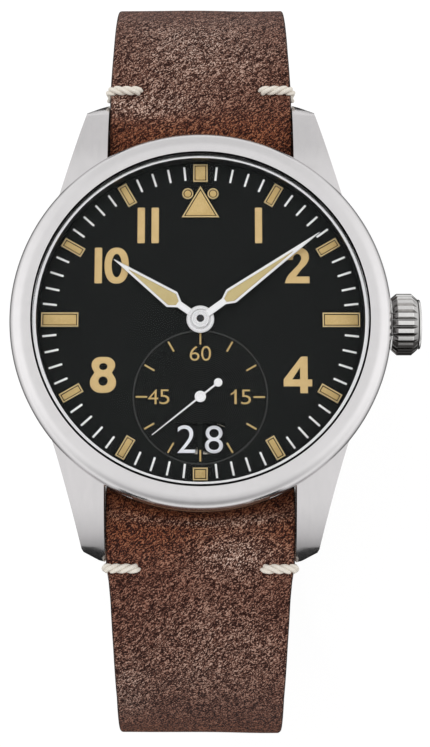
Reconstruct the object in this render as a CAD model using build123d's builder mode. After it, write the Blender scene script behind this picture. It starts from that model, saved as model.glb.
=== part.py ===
from build123d import *
import math
import os

# Pilot watch: X points to the crown, Y to 12 o'clock, Z out of the dial.
# The origin is the centre of the case back's outer face.

# Driving sizes, in millimetres
case_radius = 20.0            # widest part of the bezel
lug_gap = 20.2                # between the lugs, for a 20 mm strap
lug_reach = 5.1               # from the bezel to a lug's end
dial_radius = 17.42
back_thickness = 1.4
middle_height = 5.2
bezel_height = 2.7
strap_thickness = 2.8
upper_length = 75.0           # buckle half, from spring bar to buckle bar
lower_length = 115.0          # half with the holes, from spring bar to tip

# Clearances
running = 0.03                # a shaft in its hole
slip = 0.05                   # parts that slide together by hand
over = 1.0                    # overrun of every through cut

# Case
wall_step = 0.4               # from the bezel's edge in to the case wall
wall_lean = 0.5               # from the wall in to its foot
wall_radius = case_radius - wall_step
wall_foot_radius = wall_radius - wall_lean
dial_gap = 0.08
bore_radius = dial_radius + dial_gap
case_top = back_thickness + middle_height
bezel_top = case_top + bezel_height

# Crystal, its ring and the rehaut
gasket_width = 0.28
crystal_radius = 17.8
seat_radius = crystal_radius + gasket_width
rehaut_outer = 17.9
rehaut_foot = 17.39
rehaut_lip = 17.45
rehaut_height = 1.8
crystal_edge = 0.8
crystal_bevel = 0.15
crystal_dome = 0.4
crystal_bottom = case_top + rehaut_height
crystal_top = crystal_bottom + crystal_edge + crystal_bevel + crystal_dome

# Lugs, in plan and from the side
lug_inner = lug_gap / 2
lug_tip = case_radius + lug_reach
lug_tip_width = 2.4
lug_tip_slant = 1.25
lug_root_x = 16.2
lug_root_y = 11.0
lug_hollow_x = 14.15
lug_hollow_y = 17.5
lug_top_height = 6.2
lug_top_start = 14.0
lug_crown_y = 20.9
lug_crown_height = 5.25
lug_end_height = 2.6
lug_bevel_height = 2.0
lug_bevel = 0.4
lug_drop = 0.8
lug_belly_y = 21.0
lug_belly_height = -0.2
lug_heel_y = 17.0
bar_from_tip = 3.1            # spring bar, from a lug's end
bar_y = lug_tip - bar_from_tip
bar_z = 1.6
bar_radius = 0.9
bar_pin_radius = 0.4
bar_pin_length = 0.9
bar_end_gap = 0.25

# Case back
back_step = 0.1
back_radius = wall_foot_radius - back_step
back_edge = 0.4
spigot_outer = 16.95
spigot_inner = 16.3
spigot_height = 0.6
back_gasket_height = 0.5
screw_circle = 18.25
screw_count = 6
screw_head_radius = 0.42
screw_head_height = 0.4
screw_radius = 0.28
screw_length = 1.6
screw_slot = 0.14

# Movement, from the dial down
dial_thickness = 0.4
dial_bottom = case_top - dial_thickness
plate_radius = 15.5
plate_top = 5.2
plate_bottom = 3.9
ring_inner = plate_radius + slip
ring_rebate = 17.15
ring_rebate_depth = 0.34
bridge_top = 2.6
bridge_bottom = 2.1

# Crown and stem
crown_axis = 4.3
crown_gap = 0.36              # between the bezel's edge and the crown
crown_start = case_radius + crown_gap
crown_length = 2.85
crown_radius = 3.3
crown_flutes = 18
flute_radius = 0.34
crown_bevel = 0.35
crown_cap_radius = 2.52
crown_cap_height = 0.25
crown_cup_radius = 1.85
crown_cup_depth = 1.9
tube_outer = 1.25
tube_inner = 0.6
tube_start = 16.9
tube_into_crown = 1.84
tube_end = crown_start + tube_into_crown
seal_length = 0.7
stem_radius = 0.45
stem_start = 8.3
stem_into_crown = 0.6
groove_x = 12.0
groove_width = 0.6
groove_radius = 0.2
setting_teeth = 10
setting_module = 0.11
setting_length = 0.9
stem_room = 0.72

# Setting lever: its finger stands in the stem's groove
lever_arm = 4.6
lever_lean = 10.0             # degrees off square to the stem, at rest
lever_bottom = 3.2
lever_thickness = 0.3
lever_width = 0.9
lever_hub = 0.8
lever_pin = 0.35
finger_radius = 0.15
finger_top = 4.07

# Hands' centre and the arbors
seconds_y = -8.22
arbor_radius = 0.2
cannon_inner = 0.33
cannon_outer = 0.5
hour_tube_outer = 0.7
dial_hole = 0.8
centre_arbor = 0.3

# Motion work
motion_bottom = 5.24
motion_thickness = 0.17
motion_gap = 0.04
cannon_teeth, minute_wheel_teeth, cannon_module = 12, 36, 0.125
minute_pinion_teeth, hour_teeth, hour_module = 10, 40, 0.12
minute_wheel_angle = 135.0
minute_post = 0.25

# Going train, from the centre wheel down to the rotor
train_module = 0.12
rotor_module = 0.1
pinion_teeth = 8
centre_teeth, third_teeth, fourth_teeth, fifth_teeth = 64, 60, 40, 48
wheel_thickness = 0.2
train_step = 0.3
train_bottom = 2.7
fifth_angle = 200.0
rotor_angle = 170.0
magnet_radius = 0.7
magnet_height = 0.4
pivot_radius = 0.12

# Tooth shape, as shares of the module and of the tooth's pitch
addendum_share = 0.7
dedendum_share = 0.95
tip_share = 0.18
root_share = 0.5

# Date
units_x, units_y = 3.6, -7.3
units_inner, units_outer = 4.1, 7.25
units_bottom = 5.66
tens_x, tens_y = -4.15, -12.5
tens_radius = 3.9
tens_bottom = 5.92
date_thickness = 0.2
units_seat = 4.4
tens_post = 0.3
window_left = -2.66
window_right = 2.57
window_split = 0.58
window_low, window_high = -14.25, -10.97

# Dial furniture
subdial_radius = 7.1
subdial_depth = 0.06
marker_height = 0.3
lume_height = 0.26
frame_border = 0.14
baton_inner, baton_outer, baton_width = 14.5, 16.94, 1.05
noon_inner, noon_outer = 15.1, 17.06
six_inner, six_outer = 15.69, 17.03
side_inner, side_outer = 12.95, 16.92
wide_marker = 1.55
triangle_top, triangle_foot, triangle_half = 14.63, 11.16, 2.02
dot_x, dot_y, dot_radius = 1.36, 13.79, 0.6
numeral_height = 0.12
numeral_stroke = 0.8
numeral_tall = 3.9
numeral_wide = 2.7
tick_height = 0.03
tick_outer, tick_length, tick_width = 16.87, 1.5, 0.22
small_tick_outer, small_tick_inner, small_tick_width = 6.8, 5.6, 0.18
small_digit_tall, small_digit_wide, small_stroke = 1.55, 1.0, 0.2

# Hands
hand_thickness = 0.15
seconds_hand_bottom = 6.74
hour_hand_bottom = 7.04
minute_hand_bottom = 7.42
hour_length, hour_angle = 11.3, -54.9
minute_length, minute_angle = 15.8, 53.6
seconds_length, seconds_angle = 6.5, 231.3
hour_hub, minute_hub, seconds_hub = 1.47, 0.98, 0.6
neck_half = 0.37
hour_shoulder_at, hour_shoulder_half = 3.67, 0.99
minute_shoulder_at, minute_shoulder_half = 4.05, 0.88
shoulder_rise = 0.95
lume_border = 0.23
hour_lume_start, hour_lume_end = 3.3, 9.0
minute_lume_start, minute_lume_end = 3.5, 11.4
seconds_half = 0.13
tail_length, tail_radius = 2.4, 0.45

# Battery, coil and circuit
battery_x, battery_y = 7.6, 5.3
battery_radius = 4.75
battery_bottom, battery_height = 1.8, 2.05
clip_thickness = 0.2
clip_width = 2.2
clip_reach = 0.9
coil_x = -11.2
coil_low, coil_high = -6.6, -0.4
core_low, core_high = -8.4, 1.4
core_bottom, core_height, core_width = 2.6, 0.4, 1.4
coil_width, coil_bottom, coil_top, coil_round = 2.9, 1.95, 3.6, 0.6
stator_height, stator_width, stator_eye = 0.4, 1.8, 1.5
stator_hole = 0.95
stator_elbow_x = -8.2
bridge_post_shares = ((-0.206, 0.232), (0.284, -0.555), (-0.297, -0.297))
bridge_points = [(x * plate_radius, y * plate_radius) for x, y in bridge_post_shares]
post_radius = 0.75
bridge_round = 1.2
bridge_screw_radius = 0.3
bridge_head_radius = 0.6
bridge_head_height = 0.35
bridge_screw_length = 0.9
board_left, board_right, board_low = -12.6, 1.4, 4.9
board_radius = 14.6
board_bottom, board_thickness = 2.15, 0.35
board_post_shares = ((-0.606, 0.555), (-0.065, 0.813))
board_posts = [(x * plate_radius, y * plate_radius) for x, y in board_post_shares]
can_x, can_y, can_radius, can_length = -6.0, 6.6, 0.65, 5.0
chip_x, chip_y, chip_side, chip_height = -4.6, 10.0, 2.6, 0.7

# Strap: runs and arcs of the centre line as (radius or length, turn)
strap_side_gap = 0.2
strap_half = lug_inner - strap_side_gap
strap_loop = 1.75             # radius of the fold round the spring bar
nose_gap = 0.15               # between the strap's end and the case wall
strap_bore = bar_radius + slip
strap_dip = 6.0               # degrees down where the strap leaves the lugs
strap_run = 5.6
upper_bend, upper_curl = 12.4, 15.0
lower_bend, lower_curl = 15.2, 34.0
taper_start = 0.0
taper_mid = 14.0
taper_low = 24.0
upper_mid_half, lower_mid_half = 9.8, 9.1
tail_half = 9.1
tip_run = 9.0
tip_half = 3.2
hole_radius = 0.9
hole_count = 7
hole_pitch = 6.5
hole_from_tip = 25.0
tack_at = 4.2                 # from the spring bar
tack_reach = 3.4
tack_width = 0.9
tack_height = 0.45

# Buckle and keepers
buckle_side = 2.0
buckle_gap = 0.25
buckle_reach = 9.0
buckle_front = 2.2
buckle_tail = 1.8
buckle_thickness = 2.2
buckle_round = 0.6
buckle_bar_radius = 0.7
buckle_bar_into = 1.0
buckle_loop = 1.4
tongue_half = 1.0
tongue_thickness = 1.0
tongue_ring = 1.3
tongue_over = 0.6
slot_half = 1.4
slot_length = 5.0
keeper_wall = 1.1
keeper_gap = 0.25
keeper_width = 6.0
fixed_keeper_at = 8.0         # from the buckle bar
sliding_keeper_at = 17.5


def ring(bottom, top, outer, inner=0, at=(0, 0), mode=Mode.ADD):
    """Round plate, or ring, between two heights."""
    with BuildSketch(Plane.XY.offset(bottom)) as outline:
        with Locations(at):
            Circle(outer)
            if inner:
                Circle(inner, mode=Mode.SUBTRACT)
    extrude(outline.sketch, amount=top - bottom, mode=mode)


def block(bottom, top, low, high, mode=Mode.ADD):
    """Box between two heights and two opposite corners in plan."""
    with BuildSketch(Plane.XY.offset(bottom)) as outline:
        with Locations(((low[0] + high[0]) / 2, (low[1] + high[1]) / 2)):
            Rectangle(high[0] - low[0], high[1] - low[1])
    extrude(outline.sketch, amount=top - bottom, mode=mode)


def prism(bottom, top, points, mode=Mode.ADD):
    """Straight-sided piece between two heights, from the corners in plan."""
    with BuildSketch(Plane.XY.offset(bottom)) as outline:
        Polygon(*points, align=None)
    extrude(outline.sketch, amount=top - bottom, mode=mode)


def polar(distance, degrees, start=(0, 0)):
    """Point at a distance and an angle from a start."""
    angle = math.radians(degrees)
    return (start[0] + distance * math.cos(angle), start[1] + distance * math.sin(angle))


def gear(bottom, top, teeth, module, at, toward, gap=False):
    """Toothed wheel with a tooth, or a gap, that points at the angle toward."""
    pitch = math.pi * module
    root = module * (teeth / 2 - dedendum_share)
    tip = module * (teeth / 2 + addendum_share)
    step = 360 / teeth
    first = toward + (step / 2 if gap else 0)
    points = []
    for tooth in range(teeth):
        middle = first + tooth * step
        root_half = math.degrees(root_share * pitch / 2 / root)
        tip_half_angle = math.degrees(tip_share * pitch / 2 / tip)
        for radius, off in ((root, -root_half), (tip, -tip_half_angle),
                            (tip, tip_half_angle), (root, root_half)):
            points.append(polar(radius, middle + off, at))
    prism(bottom, top, points)


def finish(part, name):
    """Name a finished piece and write it to its file."""
    part.label = name
    export_step(part, "parts/" + name + ".step")


os.makedirs("parts", exist_ok=True)

# Places of the arbors: the third wheel stands where both its meshes fit
centre_place = (0, 0)
seconds_place = (0, seconds_y)
third_from_centre = train_module * (centre_teeth + pinion_teeth) / 2
third_from_fourth = train_module * (third_teeth + pinion_teeth) / 2
third_y = (third_from_fourth**2 - third_from_centre**2 - seconds_y**2) / (-2 * seconds_y)
third_place = (math.sqrt(third_from_centre**2 - third_y**2), third_y)
fifth_place = polar(train_module * (fourth_teeth + pinion_teeth) / 2, fifth_angle, seconds_place)
rotor_place = polar(rotor_module * (fifth_teeth + pinion_teeth) / 2, rotor_angle, fifth_place)
minute_distance = cannon_module * (cannon_teeth + minute_wheel_teeth) / 2
minute_place = polar(minute_distance, minute_wheel_angle)
units_place = (units_x, units_y)
tens_place = (tens_x, tens_y)
lever_place = (groove_x + lever_arm * math.sin(math.radians(lever_lean)),
               -lever_arm * math.cos(math.radians(lever_lean)))
battery_place = (battery_x, battery_y)


def bearing(a, b):
    """Angle from one place to another, in degrees."""
    return math.degrees(math.atan2(b[1] - a[1], b[0] - a[0]))


# Case middle with its four lugs
with BuildPart() as lug_blank:
    with BuildSketch(Plane.XY.offset(-lug_drop - over)):
        with BuildLine():
            inner_corner = (lug_inner, lug_tip)
            outer_corner = (lug_inner + lug_tip_width, lug_tip - lug_tip_slant)
            Polyline((lug_root_x, lug_root_y), (lug_inner, lug_root_y), inner_corner, outer_corner)
            ThreePointArc(outer_corner, (lug_hollow_x, lug_hollow_y), (lug_root_x, lug_root_y))
        make_face()
    extrude(amount=case_top + lug_drop + 2 * over)
    with BuildSketch(Plane.YZ) as lug_side:
        with BuildLine():
            top_end = (lug_tip - lug_bevel, lug_end_height)
            foot_end = (lug_tip - lug_bevel, -lug_drop)
            top_start = (lug_top_start, lug_top_height)
            heel = (lug_heel_y, back_thickness)
            ThreePointArc(top_start, (lug_crown_y, lug_crown_height), top_end)
            Polyline(top_end, (lug_tip, lug_bevel_height), foot_end)
            ThreePointArc(foot_end, (lug_belly_y, lug_belly_height), heel)
            Polyline(heel, (lug_root_y - over, back_thickness), (lug_root_y - over, lug_top_height), top_start)
        make_face()
    extrude(lug_side.sketch, amount=case_radius, both=True, mode=Mode.INTERSECT)

with BuildPart() as case_middle:
    with BuildSketch(Plane.XZ):
        with BuildLine():
            wall_mid = (wall_radius, back_thickness + middle_height / 2)
            Polyline((wall_radius, case_top), (bore_radius, case_top), (bore_radius, back_thickness),
                     (wall_foot_radius, back_thickness))
            ThreePointArc((wall_foot_radius, back_thickness), wall_mid, (wall_radius, case_top))
        make_face()
    revolve(axis=Axis.Z)
    add(lug_blank.part)
    add(lug_blank.part.mirror(Plane.YZ))
    add(lug_blank.part.mirror(Plane.XZ))
    add(lug_blank.part.mirror(Plane.YZ).mirror(Plane.XZ))
    ring(back_thickness - over, case_top + over, bore_radius, mode=Mode.SUBTRACT)
    for side in (1, -1):
        with Locations(Plane(origin=(0, side * bar_y, bar_z), z_dir=(1, 0, 0))):
            Cylinder(bar_pin_radius + slip, 2 * (lug_inner + bar_pin_length + slip), mode=Mode.SUBTRACT)
    with Locations(Plane(origin=((tube_start + case_radius) / 2, 0, crown_axis), z_dir=(1, 0, 0))):
        Cylinder(tube_outer, case_radius - tube_start + over, mode=Mode.SUBTRACT)
    with Locations(Plane.XY.offset(back_thickness)):
        with PolarLocations(screw_circle, screw_count, start_angle=180 / screw_count):
            Cylinder(screw_radius, screw_length, align=(Align.CENTER, Align.CENTER, Align.MIN),
                     mode=Mode.SUBTRACT)
finish(case_middle.part, "case_middle")

# Bezel: a smooth rounded ring that holds the crystal
bezel_lip = 0.17
bezel_crest = 18.65
bezel_shoulder_in, bezel_shoulder_z = 0.38, 8.45
bezel_waist = 7.2
bezel_foot = 0.25
with BuildPart() as bezel:
    with BuildSketch(Plane.XZ):
        with BuildLine():
            crest = (bezel_crest, bezel_top)
            waist = (case_radius, bezel_waist)
            Polyline(crest, (seat_radius + bezel_lip, bezel_top), (seat_radius, bezel_top - bezel_lip),
                     (seat_radius, crystal_bottom), (rehaut_outer + slip, crystal_bottom),
                     (rehaut_outer + slip, case_top), (case_radius - bezel_foot, case_top),
                     (case_radius, case_top + bezel_foot), waist)
            ThreePointArc(waist, (case_radius - bezel_shoulder_in, bezel_shoulder_z), crest)
        make_face()
    revolve(axis=Axis.Z)
finish(bezel.part, "bezel")

with BuildPart() as rehaut_ring:
    with BuildSketch(Plane.XZ):
        Polygon((rehaut_foot, case_top), (rehaut_outer, case_top), (rehaut_outer, crystal_bottom),
                (rehaut_lip, crystal_bottom), align=None)
    revolve(axis=Axis.Z)
finish(rehaut_ring.part, "rehaut_ring")

with BuildPart() as crystal:
    with BuildSketch(Plane.XZ):
        with BuildLine():
            edge_top = (crystal_radius, crystal_bottom + crystal_edge)
            dome_reach = crystal_radius - crystal_bevel
            dome_foot = (dome_reach, crystal_top - crystal_dome)
            dome_radius = (dome_reach**2 + crystal_dome**2) / (2 * crystal_dome)
            dome_drop = dome_radius - math.sqrt(dome_radius**2 - dome_reach**2 / 4)
            Polyline((0, crystal_top), (0, crystal_bottom), (crystal_radius, crystal_bottom), edge_top, dome_foot)
            ThreePointArc(dome_foot, (dome_reach / 2, crystal_top - dome_drop), (0, crystal_top))
        make_face()
    revolve(axis=Axis.Z)
finish(crystal.part, "crystal")

with BuildPart() as crystal_gasket:
    ring(crystal_bottom, crystal_bottom + crystal_edge, seat_radius, crystal_radius)
finish(crystal_gasket.part, "crystal_gasket")

# Case back, its seal and its screws
with BuildPart() as case_back:
    ring(0, back_thickness, back_radius)
    chamfer(case_back.edges().group_by(Axis.Z)[0], back_edge)
    ring(back_thickness, back_thickness + spigot_height, spigot_outer, spigot_inner)
    with PolarLocations(screw_circle, screw_count, start_angle=180 / screw_count):
        Cylinder(screw_radius + slip, 3 * back_thickness, mode=Mode.SUBTRACT)
        Cylinder(screw_head_radius + slip, 2 * screw_head_height, mode=Mode.SUBTRACT)
finish(case_back.part, "case_back")

with BuildPart() as case_back_gasket:
    ring(back_thickness, back_thickness + back_gasket_height, bore_radius - slip, spigot_outer + slip)
finish(case_back_gasket.part, "case_back_gasket")

with BuildPart() as case_back_screws:
    with PolarLocations(screw_circle, screw_count, start_angle=180 / screw_count):
        Cylinder(screw_head_radius, screw_head_height, align=(Align.CENTER, Align.CENTER, Align.MIN))
        Cylinder(screw_radius, back_thickness + screw_length - slip,
                 align=(Align.CENTER, Align.CENTER, Align.MIN))
        Box(screw_slot, 3 * screw_head_radius, screw_head_height, mode=Mode.SUBTRACT)
finish(case_back_screws.part, "case_back_screws")

# Crown, its tube, seal and stem, all on one axis along X
crown_end = crown_start + crown_length
crown_plane = Plane(origin=(crown_start, 0, crown_axis), x_dir=(0, 1, 0), z_dir=(1, 0, 0))
with BuildPart() as crown:
    with BuildSketch(crown_plane):
        Circle(crown_radius)
        with PolarLocations(crown_radius + flute_radius / 3, crown_flutes):
            Circle(flute_radius, mode=Mode.SUBTRACT)
    extrude(amount=crown_length)
    with BuildSketch(Plane.XZ) as crown_turning:
        with BuildLine():
            low_edge = crown_axis + crown_radius - crown_bevel
            Polyline((crown_start, crown_axis), (crown_start, low_edge),
                     (crown_start + crown_bevel, crown_axis + crown_radius),
                     (crown_end - crown_bevel, crown_axis + crown_radius), (crown_end, low_edge),
                     (crown_end, crown_axis), close=True)
        make_face()
    revolve(crown_turning.sketch, axis=Axis((0, 0, crown_axis), (1, 0, 0)), mode=Mode.INTERSECT)
    with BuildSketch(crown_plane.offset(crown_length)):
        Circle(crown_cap_radius)
    extrude(amount=crown_cap_height)
    with BuildSketch(crown_plane):
        Circle(crown_cup_radius)
    extrude(amount=crown_cup_depth, mode=Mode.SUBTRACT)
    with BuildSketch(crown_plane.offset(crown_cup_depth)):
        Circle(stem_radius)
    extrude(amount=stem_into_crown, mode=Mode.SUBTRACT)
finish(crown.part, "crown")

stem_plane = Plane(origin=(0, 0, crown_axis), x_dir=(0, 1, 0), z_dir=(1, 0, 0))
with BuildPart() as crown_tube:
    with BuildSketch(stem_plane.offset(tube_start)):
        Circle(tube_outer)
        Circle(tube_inner, mode=Mode.SUBTRACT)
    extrude(amount=tube_end - tube_start)
finish(crown_tube.part, "crown_tube")

with BuildPart() as crown_seal:
    with BuildSketch(stem_plane.offset(crown_start + slip)):
        Circle(crown_cup_radius - running)
        Circle(tube_outer + running, mode=Mode.SUBTRACT)
    extrude(amount=seal_length)
finish(crown_seal.part, "crown_seal")

stem_end = crown_start + crown_cup_depth + stem_into_crown
with BuildPart() as winding_stem:
    with BuildSketch(stem_plane.offset(stem_start)):
        Circle(stem_radius)
    extrude(amount=stem_end - stem_start)
    with BuildSketch(stem_plane.offset(groove_x - groove_width / 2)):
        Circle(stem_radius + over)
        Circle(groove_radius, mode=Mode.SUBTRACT)
    extrude(amount=groove_width, mode=Mode.SUBTRACT)
    with BuildSketch(stem_plane.offset(stem_start)):
        with PolarLocations(setting_module * setting_teeth / 2, setting_teeth):
            Rectangle(2 * setting_module, setting_module)
    extrude(amount=setting_length)
finish(winding_stem.part, "winding_stem")

# Setting lever
lever_top = lever_bottom + lever_thickness
finger_place = (groove_x, 0)
with BuildPart() as setting_lever:
    with BuildSketch(Plane.XY.offset(lever_bottom)):
        with Locations(lever_place):
            Circle(lever_hub)
        with BuildLine():
            Line(lever_place, finger_place)
        trace(line_width=lever_width)
        with Locations(finger_place):
            Circle(lever_width / 2)
        with Locations(lever_place):
            Circle(lever_pin + running, mode=Mode.SUBTRACT)
    extrude(amount=lever_thickness)
    ring(lever_top, finger_top, finger_radius, at=finger_place)
finish(setting_lever.part, "setting_lever")

# Movement ring between the case and the movement
ring_bottom = back_thickness + spigot_height
with BuildPart() as movement_ring:
    ring(ring_bottom, dial_bottom, bore_radius - slip, ring_inner)
    ring(dial_bottom - ring_rebate_depth, dial_bottom, ring_rebate, mode=Mode.SUBTRACT)
    with Locations(Plane(origin=(plate_radius + over, 0, crown_axis), z_dir=(1, 0, 0))):
        Cylinder(tube_outer + slip, 4 * over, mode=Mode.SUBTRACT)
finish(movement_ring.part, "movement_ring")

# Main plate with its posts, seats and holes
with BuildPart() as main_plate:
    ring(plate_bottom, plate_top, plate_radius)
    ring(plate_top, units_bottom - running, units_seat, at=units_place)
    ring(plate_top, units_bottom + date_thickness, units_inner - slip, at=units_place)
    ring(plate_top, tens_bottom + date_thickness, tens_post, at=tens_place)
    ring(plate_top, tens_bottom - running, 2 * tens_post, at=tens_place)
    ring(plate_top, motion_bottom + 2 * motion_thickness, minute_post, at=minute_place)
    ring(lever_bottom, plate_bottom, lever_pin, at=lever_place)
    for place in bridge_points:
        ring(bridge_top, plate_bottom, post_radius, at=place)
    for place in board_posts:
        ring(board_bottom + board_thickness, plate_bottom, post_radius, at=place)
    for place, radius in ((centre_place, centre_arbor), (seconds_place, arbor_radius)):
        ring(plate_bottom - over, dial_bottom, radius + running, at=place, mode=Mode.SUBTRACT)
    for place in (third_place, fifth_place, rotor_place):
        ring(plate_bottom - over, plate_bottom + post_radius, pivot_radius + running, at=place,
             mode=Mode.SUBTRACT)
    for place in bridge_points:
        ring(bridge_top - over, bridge_top + bridge_screw_length, bridge_screw_radius, at=place,
             mode=Mode.SUBTRACT)
    with BuildSketch(stem_plane.offset(stem_start - slip)):
        Circle(stem_room)
        with Locations((0, -stem_room)):
            Rectangle(2 * stem_room, 2 * stem_room)
    extrude(amount=plate_radius, mode=Mode.SUBTRACT)
    ring(lever_bottom, crown_axis, lever_hub, at=polar(lever_arm, bearing(lever_place, finger_place), lever_place),
         mode=Mode.SUBTRACT)
    ring(lever_bottom, plate_bottom, lever_pin, at=lever_place)
finish(main_plate.part, "main_plate")

# Train bridge and its screws
with BuildPart() as train_bridge:
    with BuildSketch(Plane.XY.offset(bridge_bottom)):
        with Locations(*bridge_points, centre_place, seconds_place, rotor_place, fifth_place):
            Circle(bridge_round)
        make_hull()
        with Locations(*bridge_points):
            Circle(bridge_screw_radius + running, mode=Mode.SUBTRACT)
        with Locations(third_place, fifth_place, rotor_place, centre_place, seconds_place):
            Circle(pivot_radius + running, mode=Mode.SUBTRACT)
    extrude(amount=bridge_top - bridge_bottom)
finish(train_bridge.part, "train_bridge")

with BuildPart() as bridge_screws:
    for place in bridge_points:
        ring(bridge_bottom - bridge_head_height, bridge_bottom, bridge_head_radius, at=place)
        ring(bridge_bottom, bridge_top + bridge_screw_length - running, bridge_screw_radius - running / 3, at=place)
finish(bridge_screws.part, "bridge_screws")

# Wheels of the going train, each level one step above the next
level_d = train_bottom
level_c = level_d + train_step
level_b = level_c + train_step
level_a = level_b + train_step
centre_to_third = bearing(centre_place, third_place)
third_to_fourth = bearing(third_place, seconds_place)
cannon_top = minute_hand_bottom + hand_thickness + motion_gap
with BuildPart() as centre_wheel:
    gear(level_a, level_a + wheel_thickness, centre_teeth, train_module, centre_place, centre_to_third)
    ring(bridge_top, cannon_top, centre_arbor - running)
    ring(bridge_bottom, bridge_top, pivot_radius)
finish(centre_wheel.part, "centre_wheel")

with BuildPart() as third_wheel:
    gear(level_a, level_a + wheel_thickness, pinion_teeth, train_module, third_place,
         centre_to_third + 180, gap=True)
    gear(level_b, level_b + wheel_thickness, third_teeth, train_module, third_place, third_to_fourth)
    ring(bridge_top, plate_bottom, arbor_radius, at=third_place)
    ring(bridge_bottom, plate_bottom + post_radius - slip, pivot_radius, at=third_place)
finish(third_wheel.part, "third_wheel")

with BuildPart() as fourth_wheel:
    gear(level_b, level_b + wheel_thickness, pinion_teeth, train_module, seconds_place,
         third_to_fourth + 180, gap=True)
    gear(level_c, level_c + wheel_thickness, fourth_teeth, train_module, seconds_place, fifth_angle)
    ring(bridge_top, seconds_hand_bottom, arbor_radius, at=seconds_place)
    ring(bridge_bottom, bridge_top, pivot_radius, at=seconds_place)
finish(fourth_wheel.part, "fourth_wheel")

with BuildPart() as fifth_wheel:
    gear(level_c, level_c + wheel_thickness, pinion_teeth, train_module, fifth_place,
         fifth_angle + 180, gap=True)
    gear(level_d, level_d + wheel_thickness, fifth_teeth, rotor_module, fifth_place, rotor_angle)
    ring(bridge_top, plate_bottom, arbor_radius, at=fifth_place)
    ring(bridge_bottom, plate_bottom + post_radius - slip, pivot_radius, at=fifth_place)
finish(fifth_wheel.part, "fifth_wheel")

with BuildPart() as rotor:
    gear(level_d, level_d + wheel_thickness, pinion_teeth, rotor_module, rotor_place,
         rotor_angle + 180, gap=True)
    ring(level_c, level_c + magnet_height, magnet_radius, at=rotor_place)
    ring(bridge_top, plate_bottom, arbor_radius, at=rotor_place)
    ring(bridge_bottom, plate_bottom + post_radius - slip, pivot_radius, at=rotor_place)
finish(rotor.part, "rotor")

# Motion work under the dial
motion_top = motion_bottom + motion_thickness
hour_level = motion_top + motion_gap
hour_top = hour_level + motion_thickness
minute_bearing = minute_wheel_angle
with BuildPart() as cannon_pinion:
    gear(motion_bottom, motion_top, cannon_teeth, cannon_module, centre_place, minute_bearing)
    ring(motion_bottom, minute_hand_bottom, cannon_outer)
    ring(motion_bottom - over, cannon_top + over, cannon_inner, mode=Mode.SUBTRACT)
finish(cannon_pinion.part, "cannon_pinion")

with BuildPart() as minute_wheel:
    gear(motion_bottom, motion_top, minute_wheel_teeth, cannon_module, minute_place,
         minute_bearing + 180, gap=True)
    gear(motion_top, hour_top, minute_pinion_teeth, hour_module, minute_place, minute_bearing + 180)
    ring(motion_bottom - over, hour_top + over, minute_post + running, at=minute_place, mode=Mode.SUBTRACT)
finish(minute_wheel.part, "minute_wheel")

with BuildPart() as hour_wheel:
    gear(hour_level, hour_top, hour_teeth, hour_module, centre_place, minute_bearing, gap=True)
    ring(hour_level, hour_hand_bottom, hour_tube_outer)
    ring(hour_level - over, hour_hand_bottom + over, cannon_outer + running, mode=Mode.SUBTRACT)
finish(hour_wheel.part, "hour_wheel")

# Date discs
with BuildPart() as date_units_ring:
    ring(units_bottom, units_bottom + date_thickness, units_outer, units_inner, at=units_place)
finish(date_units_ring.part, "date_units_ring")

with BuildPart() as date_tens_disc:
    ring(tens_bottom, tens_bottom + date_thickness, tens_radius, tens_post + running, at=tens_place)
finish(date_tens_disc.part, "date_tens_disc")

# Dial
split_half = window_split / 2
with BuildPart() as dial:
    ring(dial_bottom, case_top, dial_radius)
    ring(case_top - subdial_depth, case_top + over, subdial_radius, at=seconds_place, mode=Mode.SUBTRACT)
    ring(dial_bottom - over, case_top + over, dial_hole, mode=Mode.SUBTRACT)
    ring(dial_bottom - over, case_top + over, arbor_radius + slip, at=seconds_place, mode=Mode.SUBTRACT)
    block(dial_bottom - over, case_top + over, (window_left, window_low), (-split_half, window_high),
          mode=Mode.SUBTRACT)
    block(dial_bottom - over, case_top + over, (split_half, window_low), (window_right, window_high),
          mode=Mode.SUBTRACT)
finish(dial.part, "dial")


def clock_plane(degrees, height, centre=(0, 0)):
    """Plane whose X axis points along a clock angle, clockwise from 12."""
    angle = math.radians(degrees)
    return Plane(origin=(centre[0], centre[1], height), x_dir=(math.sin(angle), math.cos(angle), 0),
                 z_dir=(0, 0, 1))


marker_table = [(30 * hour, baton_inner, baton_outer, baton_width) for hour in (1, 2, 4, 5, 7, 8, 10, 11)]
marker_table += [(0, noon_inner, noon_outer, wide_marker), (180, six_inner, six_outer, wide_marker)]
marker_table += [(90, side_inner, side_outer, wide_marker), (270, side_inner, side_outer, wide_marker)]


def marker_blocks(border, height):
    """All hour blocks, drawn in by a border."""
    for degrees, inner, outer, width in marker_table:
        with BuildSketch(clock_plane(degrees, case_top)) as outline:
            with Locations(((inner + outer) / 2, 0)):
                Rectangle(outer - inner - 2 * border, width - 2 * border)
        extrude(outline.sketch, amount=height)


def marker_triangle(border, height):
    """The triangle at 12, drawn in by a border."""
    tall = triangle_top - triangle_foot
    slope = math.hypot(tall, triangle_half)
    top = triangle_top - border * slope / triangle_half
    foot = triangle_foot + border
    half = (top - foot) * triangle_half / tall
    prism(case_top, case_top + height, ((0, top), (-half, foot), (half, foot)))


with BuildPart() as marker_lume:
    marker_blocks(frame_border, lume_height)
    marker_triangle(frame_border, lume_height)
    for side in (1, -1):
        ring(case_top, case_top + lume_height, dot_radius, at=(side * dot_x, dot_y))
finish(marker_lume.part, "marker_lume")

with BuildPart() as marker_fill:
    marker_blocks(frame_border, over)
    marker_triangle(frame_border, over)

with BuildPart() as hour_markers:
    marker_blocks(0, marker_height)
    marker_triangle(0, marker_height)
    add(marker_fill.part, mode=Mode.SUBTRACT)
finish(hour_markers.part, "hour_markers")

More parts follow.
